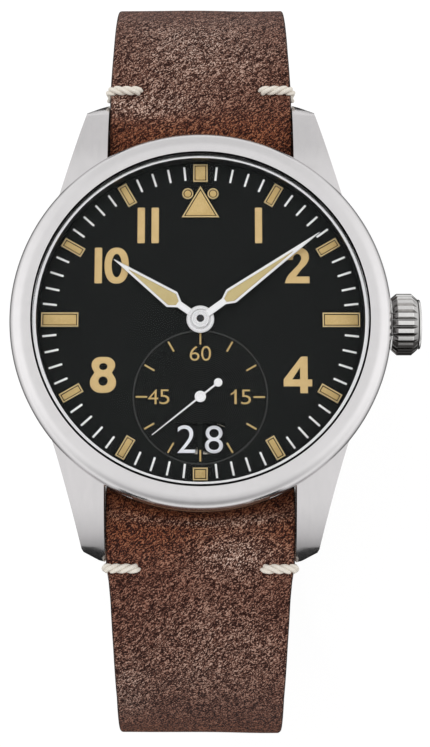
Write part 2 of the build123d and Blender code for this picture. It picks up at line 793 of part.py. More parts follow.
with BuildPart() as minute_track:
    for minute in range(60):
        if minute % 5:
            with BuildSketch(clock_plane(6 * minute, case_top)) as outline:
                with Locations((tick_outer - tick_length / 2, 0)):
                    Rectangle(tick_length, tick_width)
            extrude(outline.sketch, amount=tick_height)
finish(minute_track.part, "minute_track")

# Digits: centre lines as shares of a digit's width and height. I is the plain bar of the hours' ones.
bow = [(math.cos(math.radians(a)) / 2, math.sin(math.radians(a)) / 2) for a in range(0, 361, 20)]
upper_bow = [(0.84 * x, 0.27 + 0.46 * y) for x, y in bow]
lower_bow = [(x, -0.23 + 0.54 * y) for x, y in bow]
digit_shares = {
    "0": [bow],
    "I": [[(0, 0.5), (0, -0.5)]],
    "1": [[(-0.32, 0.26), (0.06, 0.5)], [(0.06, 0.5), (0.06, -0.5)]],
    "2": [[(-0.47, 0.26), (-0.36, 0.42), (-0.12, 0.5), (0.14, 0.49), (0.38, 0.4), (0.46, 0.22),
           (0.4, 0.06), (0.16, -0.16), (-0.2, -0.38), (-0.42, -0.5)], [(-0.66, -0.5), (0.6, -0.5)]],
    "4": [[(0.24, -0.62), (0.24, 0.58)], [(0.22, 0.5), (-0.48, -0.2)], [(-0.6, -0.24), (0.6, -0.24)]],
    "5": [[(0.5, 0.5), (-0.4, 0.5)], [(-0.4, 0.5), (-0.44, 0.02)],
          [(-0.44, 0.06), (-0.1, 0.14), (0.24, 0.1), (0.46, -0.08), (0.48, -0.24), (0.34, -0.42),
           (0.02, -0.5), (-0.3, -0.46), (-0.48, -0.3)]],
    "6": [lower_bow, [(-0.49, -0.2), (-0.44, 0.1), (-0.26, 0.36), (0.06, 0.5), (0.36, 0.46)]],
    "8": [upper_bow, lower_bow],
}


def stroke(points, width):
    """Outline of a bent bar of one width along a centre line."""
    closed = math.dist(points[0], points[-1]) < width / 9
    left, right = [], []
    count = len(points)
    for i, point in enumerate(points):
        before = points[i - 1] if i else (points[-2] if closed else None)
        after = points[i + 1] if i + 1 < count else (points[1] if closed else None)
        ways = []
        for a, b in ((before, point), (point, after)):
            if a is not None and b is not None:
                size = math.dist(a, b)
                ways.append(((b[0] - a[0]) / size, (b[1] - a[1]) / size))
        way = (ways[0][0] + ways[-1][0], ways[0][1] + ways[-1][1])
        size = math.hypot(*way)
        way = (way[0] / size, way[1] / size)
        lean = max(way[0] * ways[0][0] + way[1] * ways[0][1], 1 / 2)
        reach = width / 2 / lean
        left.append((point[0] - way[1] * reach, point[1] + way[0] * reach))
        right.append((point[0] + way[1] * reach, point[1] - way[0] * reach))
    return closed, left, right


def digit(name, middle, wide, tall, width, bottom, height):
    """One digit as raised bars, centred on a place."""
    for line in digit_shares[name]:
        points = [(middle[0] + x * (wide - width), middle[1] + y * (tall - width)) for x, y in line]
        closed, left, right = stroke(points, width)
        if closed:
            prism(bottom, bottom + height, right[:-1])
            prism(bottom, bottom + height, left[:-1], mode=Mode.SUBTRACT)
        else:
            prism(bottom, bottom + height, left + right[::-1])


def number(text, middle, wide, tall, width, bottom, height, pitch):
    """A row of digits centred on a place."""
    for i, name in enumerate(text):
        x = middle[0] + (i - (len(text) - 1) / 2) * pitch
        digit(name, (x, middle[1]), wide, tall, width, bottom, height)


numeral_place_shares = (("II", -0.321, 0.592), ("I", 0.357, 0.592), ("2", 0.591, 0.339),
                        ("4", 0.588, -0.339), ("8", -0.589, -0.339))
ten_one_share, ten_zero_share, ten_height_share = -0.626, -0.512, 0.339
eleven_pitch = 1.5
with BuildPart() as numerals:
    for text, x_share, y_share in numeral_place_shares:
        number(text, (x_share * dial_radius, y_share * dial_radius), numeral_wide, numeral_tall,
               numeral_stroke, case_top, numeral_height, eleven_pitch)
    for text, x_share in (("I", ten_one_share), ("0", ten_zero_share)):
        digit(text, (x_share * dial_radius, ten_height_share * dial_radius), numeral_wide, numeral_tall,
              numeral_stroke, case_top, numeral_height)
finish(numerals.part, "numerals")

# Scale of the small seconds, on the sunk part of the dial
scale_bottom = case_top - subdial_depth
scale_pitch = 1.15
scale_number_shares = (("60", 0, 0.654), ("45", -0.617, 0), ("15", 0.606, 0))
with BuildPart() as subdial_scale:
    for tick in range(12):
        with BuildSketch(clock_plane(30 * tick, scale_bottom, seconds_place)) as outline:
            with Locations(((small_tick_outer + small_tick_inner) / 2, 0)):
                Rectangle(small_tick_outer - small_tick_inner, small_tick_width)
        extrude(outline.sketch, amount=tick_height)
    for text, x_share, y_share in scale_number_shares:
        middle = (x_share * subdial_radius, seconds_y + y_share * subdial_radius)
        number(text, middle, small_digit_wide, small_digit_tall, small_stroke, scale_bottom, tick_height,
               scale_pitch)
finish(subdial_scale.part, "subdial_scale")


def hand_outline(length, shoulder_at, shoulder_half, inset=0, start=None, end=None):
    """Corners of a tapering pilot hand, or of the lume in it, along its own X axis."""
    slope = shoulder_half / (length - shoulder_at)
    if start is None:
        neck_end = shoulder_at - shoulder_rise
        half = [(0, neck_half), (neck_end, neck_half), (shoulder_at, shoulder_half), (length, 0)]
        return half + [(x, -y) for x, y in half[:-1]][::-1]
    base = shoulder_half - inset
    half = [(start, base * neck_half), (shoulder_at, base), (end, (length - end) * slope - inset)]
    return half + [(x, -y) for x, y in half][::-1]


def hand(bottom, length, degrees, hub, hole, shoulder_at, shoulder_half, lume_start, lume_end):
    """A hand with its hub and the slot that the lume fills."""
    with BuildSketch(clock_plane(degrees, bottom)) as outline:
        Polygon(*hand_outline(length, shoulder_at, shoulder_half), align=None)
        Circle(hub)
        Circle(hole, mode=Mode.SUBTRACT)
        Polygon(*hand_outline(length, shoulder_at, shoulder_half, lume_border, lume_start, lume_end),
                align=None, mode=Mode.SUBTRACT)
    extrude(outline.sketch, amount=hand_thickness)


def hand_lume(bottom, length, degrees, shoulder_at, shoulder_half, lume_start, lume_end):
    """The lume that fills a hand's slot."""
    with BuildSketch(clock_plane(degrees, bottom)) as outline:
        Polygon(*hand_outline(length, shoulder_at, shoulder_half, lume_border, lume_start, lume_end),
                align=None)
    extrude(outline.sketch, amount=hand_thickness)


with BuildPart() as hour_hand:
    hand(hour_hand_bottom, hour_length, hour_angle, hour_hub, cannon_outer + running, hour_shoulder_at,
         hour_shoulder_half, hour_lume_start, hour_lume_end)
finish(hour_hand.part, "hour_hand")

with BuildPart() as hour_hand_lume:
    hand_lume(hour_hand_bottom, hour_length, hour_angle, hour_shoulder_at, hour_shoulder_half,
              hour_lume_start, hour_lume_end)
finish(hour_hand_lume.part, "hour_hand_lume")

with BuildPart() as minute_hand:
    hand(minute_hand_bottom, minute_length, minute_angle, minute_hub, cannon_inner, minute_shoulder_at,
         minute_shoulder_half, minute_lume_start, minute_lume_end)
finish(minute_hand.part, "minute_hand")

with BuildPart() as minute_hand_lume:
    hand_lume(minute_hand_bottom, minute_length, minute_angle, minute_shoulder_at, minute_shoulder_half,
              minute_lume_start, minute_lume_end)
finish(minute_hand_lume.part, "minute_hand_lume")

with BuildPart() as seconds_hand:
    with BuildSketch(clock_plane(seconds_angle, seconds_hand_bottom, seconds_place)) as outline:
        Polygon((-tail_length, -seconds_half), (-tail_length, seconds_half), (seconds_length, seconds_half / 2),
                (seconds_length, -seconds_half / 2), align=None)
        Circle(seconds_hub)
        with Locations((-tail_length, 0)):
            Circle(tail_radius)
    extrude(amount=hand_thickness)
finish(seconds_hand.part, "seconds_hand")

# Battery and its clip
battery_foot_step = 0.3
battery_cap_inset = 0.5
with BuildPart() as battery:
    ring(battery_bottom + battery_foot_step, battery_bottom + battery_height, battery_radius, at=battery_place)
    ring(battery_bottom, battery_bottom + battery_foot_step, battery_radius - battery_cap_inset, at=battery_place)
finish(battery.part, "battery")

clip_half = battery_radius + clip_reach
with BuildPart() as battery_clip:
    block(battery_bottom - clip_thickness, battery_bottom, (battery_x - clip_width / 2, battery_y - clip_half),
          (battery_x + clip_width / 2, battery_y + clip_half))
    for side in (1, -1):
        leg_middle = battery_y + side * (clip_half - clip_thickness / 2)
        block(battery_bottom, plate_bottom, (battery_x - clip_width / 2, leg_middle - clip_thickness / 2),
              (battery_x + clip_width / 2, leg_middle + clip_thickness / 2))
finish(battery_clip.part, "battery_clip")

# Coil on its core, and the stator round the rotor
core_top = core_bottom + core_height
with BuildPart() as coil_core:
    block(core_bottom, core_top, (coil_x - core_width / 2, core_low), (coil_x + core_width / 2, core_high))
finish(coil_core.part, "coil_core")

with BuildPart() as coil:
    with BuildSketch(Plane(origin=(coil_x, coil_low, (coil_bottom + coil_top) / 2), x_dir=(1, 0, 0),
                           z_dir=(0, 1, 0))):
        RectangleRounded(coil_width, coil_top - coil_bottom, coil_round)
    extrude(amount=coil_high - coil_low)
    block(core_bottom, core_top, (coil_x - core_width / 2, core_low), (coil_x + core_width / 2, core_high),
          mode=Mode.SUBTRACT)
finish(coil.part, "coil")

core_ends = ((coil_x, core_low + core_width / 2), (coil_x, core_high - core_width / 2))
with BuildPart() as stator:
    with BuildSketch(Plane.XY.offset(core_top)):
        for arm in ((rotor_place, core_ends[0]), (rotor_place, (stator_elbow_x, core_ends[1][1]), core_ends[1])):
            for start, end in zip(arm, arm[1:]):
                with BuildLine():
                    Line(start, end)
                trace(line_width=stator_width)
                with Locations(end):
                    Circle(stator_width / 2)
        with Locations(rotor_place):
            Circle(stator_eye)
            Circle(stator_hole, mode=Mode.SUBTRACT)
    extrude(amount=stator_height)
finish(stator.part, "stator")

# Circuit board with its chip and quartz can
board_top = board_bottom + board_thickness
with BuildPart() as circuit_board:
    with BuildSketch(Plane.XY.offset(board_bottom)):
        Circle(board_radius)
        with Locations(((board_left + board_right) / 2, board_low + board_radius / 2)):
            Rectangle(board_right - board_left, board_radius, mode=Mode.INTERSECT)
    extrude(amount=board_thickness)
finish(circuit_board.part, "circuit_board")

with BuildPart() as chip:
    block(board_top, board_top + chip_height, (chip_x - chip_side / 2, chip_y - chip_side / 2),
          (chip_x + chip_side / 2, chip_y + chip_side / 2))
finish(chip.part, "chip")

with BuildPart() as quartz_can:
    with Locations(Plane(origin=(can_x, can_y, board_top + can_radius), z_dir=(1, 0, 0))):
        Cylinder(can_radius, can_length)
finish(quartz_can.part, "quartz_can")

# Spring bars
with BuildPart() as spring_bars:
    for side in (1, -1):
        with Locations(Plane(origin=(0, side * bar_y, bar_z), z_dir=(1, 0, 0))):
            Cylinder(bar_radius, 2 * (lug_inner - bar_end_gap))
            Cylinder(bar_pin_radius, 2 * (lug_inner + bar_pin_length))
finish(spring_bars.part, "spring_bars")


# Strap halves: (length, turn in degrees) for each run or arc, from the spring bar
def strap_path(bend, curl, total):
    """Runs and arcs of a strap's centre line: straight, bend over the side, curl under, straight."""
    first_turn = 90 - strap_dip
    bend_length = math.radians(first_turn) * bend
    curl_length = math.radians(90) * curl
    steps = [(strap_run, 0), (bend_length, -first_turn), (curl_length, -90)]
    steps.append((total - strap_run - bend_length - curl_length, 0))
    pieces = []
    place, heading, along = (bar_y, bar_z), -strap_dip, 0
    for length, turn in steps:
        pieces.append((along, length, turn, place, heading))
        place = walk(length, turn, place, heading, length)
        heading += turn
        along += length
    return pieces


def walk(length, turn, place, heading, distance):
    """Point reached after a distance along one run or arc."""
    if not turn:
        return polar(distance, heading, place)
    radius = length / math.radians(abs(turn))
    centre = polar(radius, heading - 90, place)
    return polar(radius, heading + 90 - math.degrees(distance / radius), centre)


def strap_point(path, distance, offset=0):
    """Point and heading at a distance along a strap, offset to its outer side."""
    for along, length, turn, place, heading in path:
        if distance <= along + length or path[-1][0] == along:
            here = walk(length, turn, place, heading, distance - along)
            way = heading + turn * (distance - along) / length
            return polar(offset, way + 90, here), way


def strap_frame(path, side, distance, across=False, offset=0):
    """Plane square to a strap, or lying on it, at a distance along its centre line."""
    place, heading = strap_point(path, distance, offset)
    angle = math.radians(heading)
    along = (0, side * math.cos(angle), math.sin(angle))
    out = (0, -side * math.sin(angle), math.cos(angle))
    return Plane(origin=(0, side * place[0], place[1]), x_dir=(1, 0, 0), z_dir=out if across else along)


nose_centre = wall_radius + nose_gap + strap_loop
nose_run = lug_tip - nose_centre
with BuildPart() as strap_nose:
    with BuildSketch(Plane.XZ):
        with Locations((nose_centre, bar_z)):
            Circle(strap_loop)
        with Locations((nose_centre + nose_run / 2, bar_z)):
            Rectangle(nose_run, 2 * strap_loop)
    revolve(axis=Axis.Z)
    block(bar_z - 2 * strap_loop, bar_z + 2 * strap_loop, (-strap_half, lug_root_y), (strap_half, bar_y),
          mode=Mode.INTERSECT)
    with Locations(Plane(origin=(0, bar_y, bar_z), z_dir=(1, 0, 0))):
        Cylinder(strap_bore, 4 * strap_half, mode=Mode.SUBTRACT)


def strap_body(path, side, total, mid_half):
    """Leather of one strap half, tapered, with the fold round its spring bar."""
    half = strap_thickness / 2
    with BuildSketch(Plane.YZ) as profile:
        with BuildLine():
            for offset in (half, -half):
                for along, length, turn, place, heading in path:
                    ends = [strap_point(path, along + share * length, offset)[0] for share in (0, 1 / 2, 1)]
                    spots = [(side * o, z) for o, z in ends]
                    if turn:
                        ThreePointArc(*spots)
                    else:
                        Line(spots[0], spots[2])
            for distance in (0, total):
                tips = [strap_point(path, distance, offset)[0] for offset in (half, -half)]
                Line(*[(side * o, z) for o, z in tips])
        make_face()
        with Locations((side * bar_y, bar_z)):
            Circle(strap_loop)
            Circle(strap_bore, mode=Mode.SUBTRACT)
    extrude(profile.sketch, amount=strap_half, both=True)
    heights = ((bar_z + strap_loop + over, strap_half), (taper_start, strap_half), (-taper_mid, mid_half),
               (-taper_low, tail_half), (-case_radius - lower_curl, tail_half))
    with BuildSketch(Plane.XZ) as taper:
        right = [(wide, height) for height, wide in heights]
        Polygon(*right, *[(-wide, height) for wide, height in right[::-1]], align=None)
    extrude(taper.sketch, amount=lower_length, both=True, mode=Mode.INTERSECT)


upper_path = strap_path(upper_bend, upper_curl, upper_length)
lower_path = strap_path(lower_bend, lower_curl, lower_length)
buckle_end = strap_point(upper_path, upper_length)[0]
print("buckle bar at", buckle_end)
print("strap tip at", strap_point(lower_path, lower_length))

with BuildPart() as strap_upper:
    strap_body(upper_path, 1, upper_length, upper_mid_half)
    add(strap_nose.part)
    with Locations(Plane(origin=(0, *buckle_end), z_dir=(1, 0, 0))):
        Cylinder(buckle_loop, 2 * tail_half)
        Cylinder(buckle_bar_radius + slip, 4 * tail_half, mode=Mode.SUBTRACT)
    with BuildSketch(strap_frame(upper_path, 1, upper_length, across=True)):
        Rectangle(2 * slot_half, 2 * slot_length)
    extrude(amount=strap_thickness, both=True, mode=Mode.SUBTRACT)
finish(strap_upper.part, "strap_upper")

with BuildPart() as strap_lower:
    strap_body(lower_path, -1, lower_length, lower_mid_half)
    add(strap_nose.part.mirror(Plane.XZ))
    for hole in range(hole_count):
        with BuildSketch(strap_frame(lower_path, -1, lower_length - hole_from_tip - hole * hole_pitch,
                                     across=True)) as outline:
            Circle(hole_radius)
        extrude(outline.sketch, amount=strap_thickness, both=True, mode=Mode.SUBTRACT)
    tip_place = strap_point(lower_path, lower_length)[0]
    tip_y = -tip_place[0]
    for side in (1, -1):
        with BuildSketch(Plane.XY.offset(tip_place[1])) as outline:
            Polygon((side * tail_half, tip_y - tip_run), (side * (tail_half + over), tip_y - tip_run),
                    (side * (tail_half + over), tip_y + over), (side * tip_half, tip_y + over),
                    (side * tip_half, tip_y), align=None)
        extrude(outline.sketch, amount=strap_thickness, both=True, mode=Mode.SUBTRACT)
finish(strap_lower.part, "strap_lower")


def bar_tacks(path, side):
    """Two threads that wrap a strap's edges beyond the lug tips."""
    with BuildSketch(strap_frame(path, side, tack_at)) as outline:
        for edge in (1, -1):
            with Locations((edge * (strap_half + tack_height - tack_reach / 2), 0)):
                Rectangle(tack_reach, strap_thickness + 2 * tack_height)
        Rectangle(2 * strap_half + 2 * running, strap_thickness + running, mode=Mode.SUBTRACT)
    extrude(outline.sketch, amount=tack_width / 2, both=True)


for name, path, side in (("bar_tacks_upper", upper_path, 1), ("bar_tacks_lower", lower_path, -1)):
    with BuildPart() as bar_tack_pair:
        bar_tacks(path, side)
    finish(bar_tack_pair.part, name)


def keeper(path, at):
    """Leather loop round the strap, with room for the other half's tail."""
    inside_wide = 2 * (tail_half + keeper_gap)
    inside_tall = 2 * strap_thickness + 3 * keeper_gap
    middle = (inside_tall - strap_thickness) / 2 - keeper_gap
    frame = strap_frame(path, 1, upper_length - at)
    with BuildSketch(frame) as outline:
        with Locations((0, -middle)):
            RectangleRounded(inside_wide + 2 * keeper_wall, inside_tall + 2 * keeper_wall, keeper_wall)
            Rectangle(inside_wide, inside_tall, mode=Mode.SUBTRACT)
    extrude(outline.sketch, amount=keeper_width / 2, both=True)


with BuildPart() as keeper_fixed:
    keeper(upper_path, fixed_keeper_at)
finish(keeper_fixed.part, "keeper_fixed")

with BuildPart() as keeper_sliding:
    keeper(upper_path, sliding_keeper_at)
finish(keeper_sliding.part, "keeper_sliding")

# Buckle frame, its bar and tongue, in the plane of the strap's end
buckle_inner = tail_half + buckle_gap
buckle_outer = buckle_inner + buckle_side
buckle_plane = strap_frame(upper_path, 1, upper_length, across=True)
with BuildPart() as buckle_frame:
    with BuildSketch(buckle_plane):
        with Locations((0, (buckle_reach - buckle_tail) / 2)):
            RectangleRounded(2 * buckle_outer, buckle_reach + buckle_tail, buckle_side / 2)
        with Locations((0, -buckle_front)):
            Rectangle(2 * buckle_inner, 2 * buckle_reach, mode=Mode.SUBTRACT)
    extrude(amount=buckle_thickness / 2, both=True)
    fillet(buckle_frame.faces().filter_by(Axis.Z).edges(), buckle_round)
    with Locations(Plane(origin=(0, *buckle_end), z_dir=(1, 0, 0))):
        Cylinder(buckle_bar_radius, 2 * (buckle_inner + buckle_bar_into), mode=Mode.SUBTRACT)
finish(buckle_frame.part, "buckle_frame")

with BuildPart() as buckle_bar:
    with Locations(Plane(origin=(0, *buckle_end), z_dir=(1, 0, 0))):
        Cylinder(buckle_bar_radius, 2 * (buckle_inner + buckle_bar_into))
finish(buckle_bar.part, "buckle_bar")

with BuildPart() as buckle_tongue:
    with Locations(Plane(origin=(0, *buckle_end), z_dir=(1, 0, 0))):
        Cylinder(tongue_ring, 2 * tongue_half)
    front_inside = buckle_reach - buckle_front - running
    tongue_low = buckle_thickness / 2 + running
    tongue_end = buckle_reach + tongue_over
    tongue_side = ((0, 0), (0, tongue_ring), (front_inside, tongue_low + tongue_thickness),
                   (tongue_end, tongue_low + tongue_thickness), (tongue_end, tongue_low),
                   (front_inside, tongue_low))
    with BuildSketch(Plane.YZ) as outline:
        Polygon(*[(buckle_end[0] - u, buckle_end[1] - n) for u, n in tongue_side], align=None)
    extrude(outline.sketch, amount=tongue_half, both=True)
    with Locations(Plane(origin=(0, *buckle_end), z_dir=(1, 0, 0))):
        Cylinder(buckle_bar_radius + running, 3 * tongue_half, mode=Mode.SUBTRACT)
finish(buckle_tongue.part, "buckle_tongue")
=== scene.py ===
import bmesh
import bpy
import math
import numpy as np
from mathutils import Matrix, Vector


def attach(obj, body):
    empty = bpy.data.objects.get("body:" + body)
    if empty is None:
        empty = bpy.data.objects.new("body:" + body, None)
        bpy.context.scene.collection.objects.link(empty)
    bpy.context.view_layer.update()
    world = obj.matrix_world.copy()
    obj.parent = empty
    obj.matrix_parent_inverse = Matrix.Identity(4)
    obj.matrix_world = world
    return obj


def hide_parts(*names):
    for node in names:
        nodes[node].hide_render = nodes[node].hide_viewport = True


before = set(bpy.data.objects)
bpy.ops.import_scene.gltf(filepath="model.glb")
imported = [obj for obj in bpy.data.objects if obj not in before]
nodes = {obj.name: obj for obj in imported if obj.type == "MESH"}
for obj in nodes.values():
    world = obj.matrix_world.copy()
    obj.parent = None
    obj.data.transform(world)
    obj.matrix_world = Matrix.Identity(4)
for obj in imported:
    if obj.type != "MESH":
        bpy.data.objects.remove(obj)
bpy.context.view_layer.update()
mm = 0.001


def gridFaces(rows, columns, wrapRows=False, wrapColumns=False):
    # quads of a grid of rows by columns, as index arrays
    i = np.arange(rows if wrapRows else rows - 1)
    j = np.arange(columns if wrapColumns else columns - 1)
    a, b = np.meshgrid(i, j, indexing="ij")
    c, d = (a + 1) % rows, (b + 1) % columns
    return np.stack([a * columns + b, a * columns + d, c * columns + d, c * columns + b], -1).reshape(-1, 4)


def cleanMesh(mesh, merge=2e-7):
    # welds seams and poles, then turns every face outwards
    bm = bmesh.new()
    bm.from_mesh(mesh)
    bmesh.ops.remove_doubles(bm, verts=bm.verts, dist=merge)
    bmesh.ops.dissolve_degenerate(bm, edges=bm.edges, dist=merge / 2)
    bmesh.ops.recalc_face_normals(bm, faces=bm.faces)
    bm.to_mesh(mesh)
    bm.free()


def finishShading(mesh, sharpAngle):
    # smooth faces, with edges sharper than the angle kept crisp
    mesh.polygons.foreach_set("use_smooth", np.ones(len(mesh.polygons), bool))
    mesh.set_sharp_from_angle(angle=math.radians(sharpAngle))
    mesh.update()


def addPiece(name, mesh, body, material, replaced=(), sharpAngle=35):
    # a finished mesh as a piece of the scene, riding on its body
    finishShading(mesh, sharpAngle)
    piece = bpy.data.objects.new(name, mesh)
    bpy.context.scene.collection.objects.link(piece)
    mesh.materials.clear()
    mesh.materials.append(material)
    if replaced:
        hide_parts(*replaced)
    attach(piece, body)
    return piece


def meshFrom(name, points, faces, attributes=None):
    # points in millimetres, as one array or several joined ones
    mesh = bpy.data.meshes.new(name)
    mesh.from_pydata((np.asarray(points) * mm).tolist(), [], np.asarray(faces).tolist())
    for key, values in (attributes or {}).items():
        layer = mesh.attributes.new(key, "FLOAT", "POINT")
        layer.data.foreach_set("value", np.asarray(values, np.float32).ravel())
    cleanMesh(mesh)
    return mesh


def turned(name, profile, segments=256, axis="Z", centre=(0, 0, 0), closed=True):
    # a profile of (radius, height) points carried round an axis
    profile = np.asarray(profile, float)
    turn = np.linspace(0, 2 * np.pi, segments, endpoint=False)
    r, h = profile[:, :1], profile[:, 1:]
    a, b, c = r * np.cos(turn), r * np.sin(turn), h + 0 * turn
    order = {"Z": (a, b, c), "X": (c, a, b)}[axis]
    points = np.stack(order, -1).reshape(-1, 3) + np.asarray(centre)
    return meshFrom(name, points, gridFaces(len(profile), segments, closed, True))


def arcPoints(centre, radius, start, end, count):
    # points along a circular arc, angles in degrees
    angle = np.radians(np.linspace(start, end, count))
    return np.stack([centre[0] + radius * np.cos(angle), centre[1] + radius * np.sin(angle)], 1)


def threePointArc(a, b, c, count):
    # points along the circle through three points
    a, b, c = (complex(*p) for p in (a, b, c))
    w = (c - a) / (b - a)
    centre = (b - a) * (w - abs(w) ** 2) / (2j * w.imag) + a
    radius = abs(a - centre)
    first, middle, last = (math.atan2((p - centre).imag, (p - centre).real) for p in (a, b, c))
    sweep = (last - first) % (2 * math.pi)
    if (middle - first) % (2 * math.pi) > sweep:
        sweep -= 2 * math.pi
    angle = first + np.linspace(0, sweep, count)
    return np.stack([centre.real + radius * np.cos(angle), centre.imag + radius * np.sin(angle)], 1)


def roundedCorners(points, radii, steps=5):
    # a closed outline whose corners are rounded by quadratic arcs
    out = []
    count = len(points)
    for i, point in enumerate(points):
        radius = radii[i] if hasattr(radii, "__len__") else radii
        before, here, after = (np.array(points[k % count], float) for k in (i - 1, i, i + 1))
        if radius <= 0:
            out.append(here)
            continue
        back, on = before - here, after - here
        reachBack = min(radius, np.linalg.norm(back) / 2.01)
        reachOn = min(radius, np.linalg.norm(on) / 2.01)
        start = here + back / np.linalg.norm(back) * reachBack
        stop = here + on / np.linalg.norm(on) * reachOn
        for t in np.linspace(0, 1, steps):
            out.append((1 - t) ** 2 * start + 2 * t * (1 - t) * here + t * t * stop)
    return np.array(out)


def flatSolid(name, loops, bottom, top, bevel, bevelSteps=2):
    # closed outlines filled flat, raised between two heights, with rounded rims
    curve = bpy.data.curves.new(name, "CURVE")
    curve.dimensions = "2D"
    curve.fill_mode = "BOTH"
    for loop in loops:
        spline = curve.splines.new("POLY")
        spline.points.add(len(loop) - 1)
        flat = np.zeros((len(loop), 4))
        flat[:, :2] = loop
        flat[:, 3] = 1
        spline.points.foreach_set("co", flat.ravel())
        spline.use_cyclic_u = True
    curve.offset = -bevel
    curve.bevel_depth = bevel
    curve.bevel_resolution = bevelSteps
    curve.extrude = (top - bottom) / 2 - bevel
    return settled(name, curve, (top + bottom) / 2)


def settled(name, curve, height):
    # the curve's mesh, in metres, lifted to its height
    holder = bpy.data.objects.new(name + "Draft", curve)
    bpy.context.scene.collection.objects.link(holder)
    bpy.context.view_layer.update()
    mesh = bpy.data.meshes.new_from_object(holder.evaluated_get(bpy.context.evaluated_depsgraph_get()))
    bpy.data.objects.remove(holder)
    bpy.data.curves.remove(curve)
    mesh.name = name
    mesh.transform(Matrix.Scale(mm, 4) @ Matrix.Translation((0, 0, height)))
    cleanMesh(mesh, 5e-7)
    return mesh


def faceValues(mesh, key):
    # the "center" or "normal" of every face
    values = np.zeros(len(mesh.polygons) * 3)
    mesh.polygons.foreach_get(key, values)
    return values.reshape(-1, 3)


def joined(name, meshes):
    # several meshes as one
    bm = bmesh.new()
    for mesh in meshes:
        bm.from_mesh(mesh)
        bpy.data.meshes.remove(mesh)
    whole = bpy.data.meshes.new(name)
    bm.to_mesh(whole)
    bm.free()
    return whole


def carve(mesh, cutters):
    # takes the cutters' shapes out of a mesh
    piece = bpy.data.objects.new("carveWork", mesh)
    tool = bpy.data.objects.new("carveTool", joined("carveTool", cutters))
    for thing in (piece, tool):
        bpy.context.scene.collection.objects.link(thing)
    cut = piece.modifiers.new("cut", "BOOLEAN")
    cut.operation = "DIFFERENCE"
    cut.solver = "MANIFOLD"
    cut.object = tool
    bpy.context.view_layer.update()
    result = bpy.data.meshes.new_from_object(piece.evaluated_get(bpy.context.evaluated_depsgraph_get()))
    for thing in (piece, tool):
        data = thing.data
        bpy.data.objects.remove(thing)
        bpy.data.meshes.remove(data)
    return result


def placed(mesh, x=0, y=0, degrees=0):
    # a mesh turned about the dial's middle, then moved
    mesh.transform(Matrix.Translation((x * mm, y * mm, 0)) @ Matrix.Rotation(math.radians(degrees), 4, "Z"))
    return mesh


def addNode(tree, kind, inputs=None, **settings):
    # a shader node with its inputs linked or set
    node = tree.nodes.new(kind)
    for key, value in settings.items():
        setattr(node, key, value)
    for key, value in (inputs or {}).items():
        if isinstance(value, bpy.types.NodeSocket):
            tree.links.new(value, node.inputs[key])
        else:
            node.inputs[key].default_value = value
    return node


def mixColour(tree, factor, a, b):
    # colour a where the factor is 0, colour b where it is 1
    node = addNode(tree, "ShaderNodeMix", data_type="RGBA")
    for index, value in ((0, factor), (6, a), (7, b)):
        if isinstance(value, bpy.types.NodeSocket):
            tree.links.new(value, node.inputs[index])
        else:
            node.inputs[index].default_value = value
    return node.outputs[2]


def ramp(tree, factor, *stops):
    # a straight ramp of grey values at places from 0 to 1
    node = addNode(tree, "ShaderNodeValToRGB")
    tree.links.new(factor, node.inputs[0])
    elements = node.color_ramp.elements
    while len(elements) < len(stops):
        elements.new(0.5)
    for element, (place, value) in zip(elements, stops):
        element.position = place
        element.color = (value, value, value, 1)
    return node.outputs[0]


def math2(tree, operation, a, b=0.0):
    # one calculation with two values or sockets
    node = addNode(tree, "ShaderNodeMath", operation=operation)
    for index, value in ((0, a), (1, b)):
        if isinstance(value, bpy.types.NodeSocket):
            tree.links.new(value, node.inputs[index])
        else:
            node.inputs[index].default_value = value
    return node.outputs[0]


def newGroup(name, inputs, outputs):
    # an empty node group with its named sockets
    group = bpy.data.node_groups.new(name, "ShaderNodeTree")
    for key, kind, value in inputs:
        socket = group.interface.new_socket(key, in_out="INPUT", socket_type=kind)
        if value is not None:
            socket.default_value = value
    for key, kind in outputs:
        group.interface.new_socket(key, in_out="OUTPUT", socket_type=kind)
    return group, group.nodes.new("NodeGroupInput"), group.nodes.new("NodeGroupOutput")


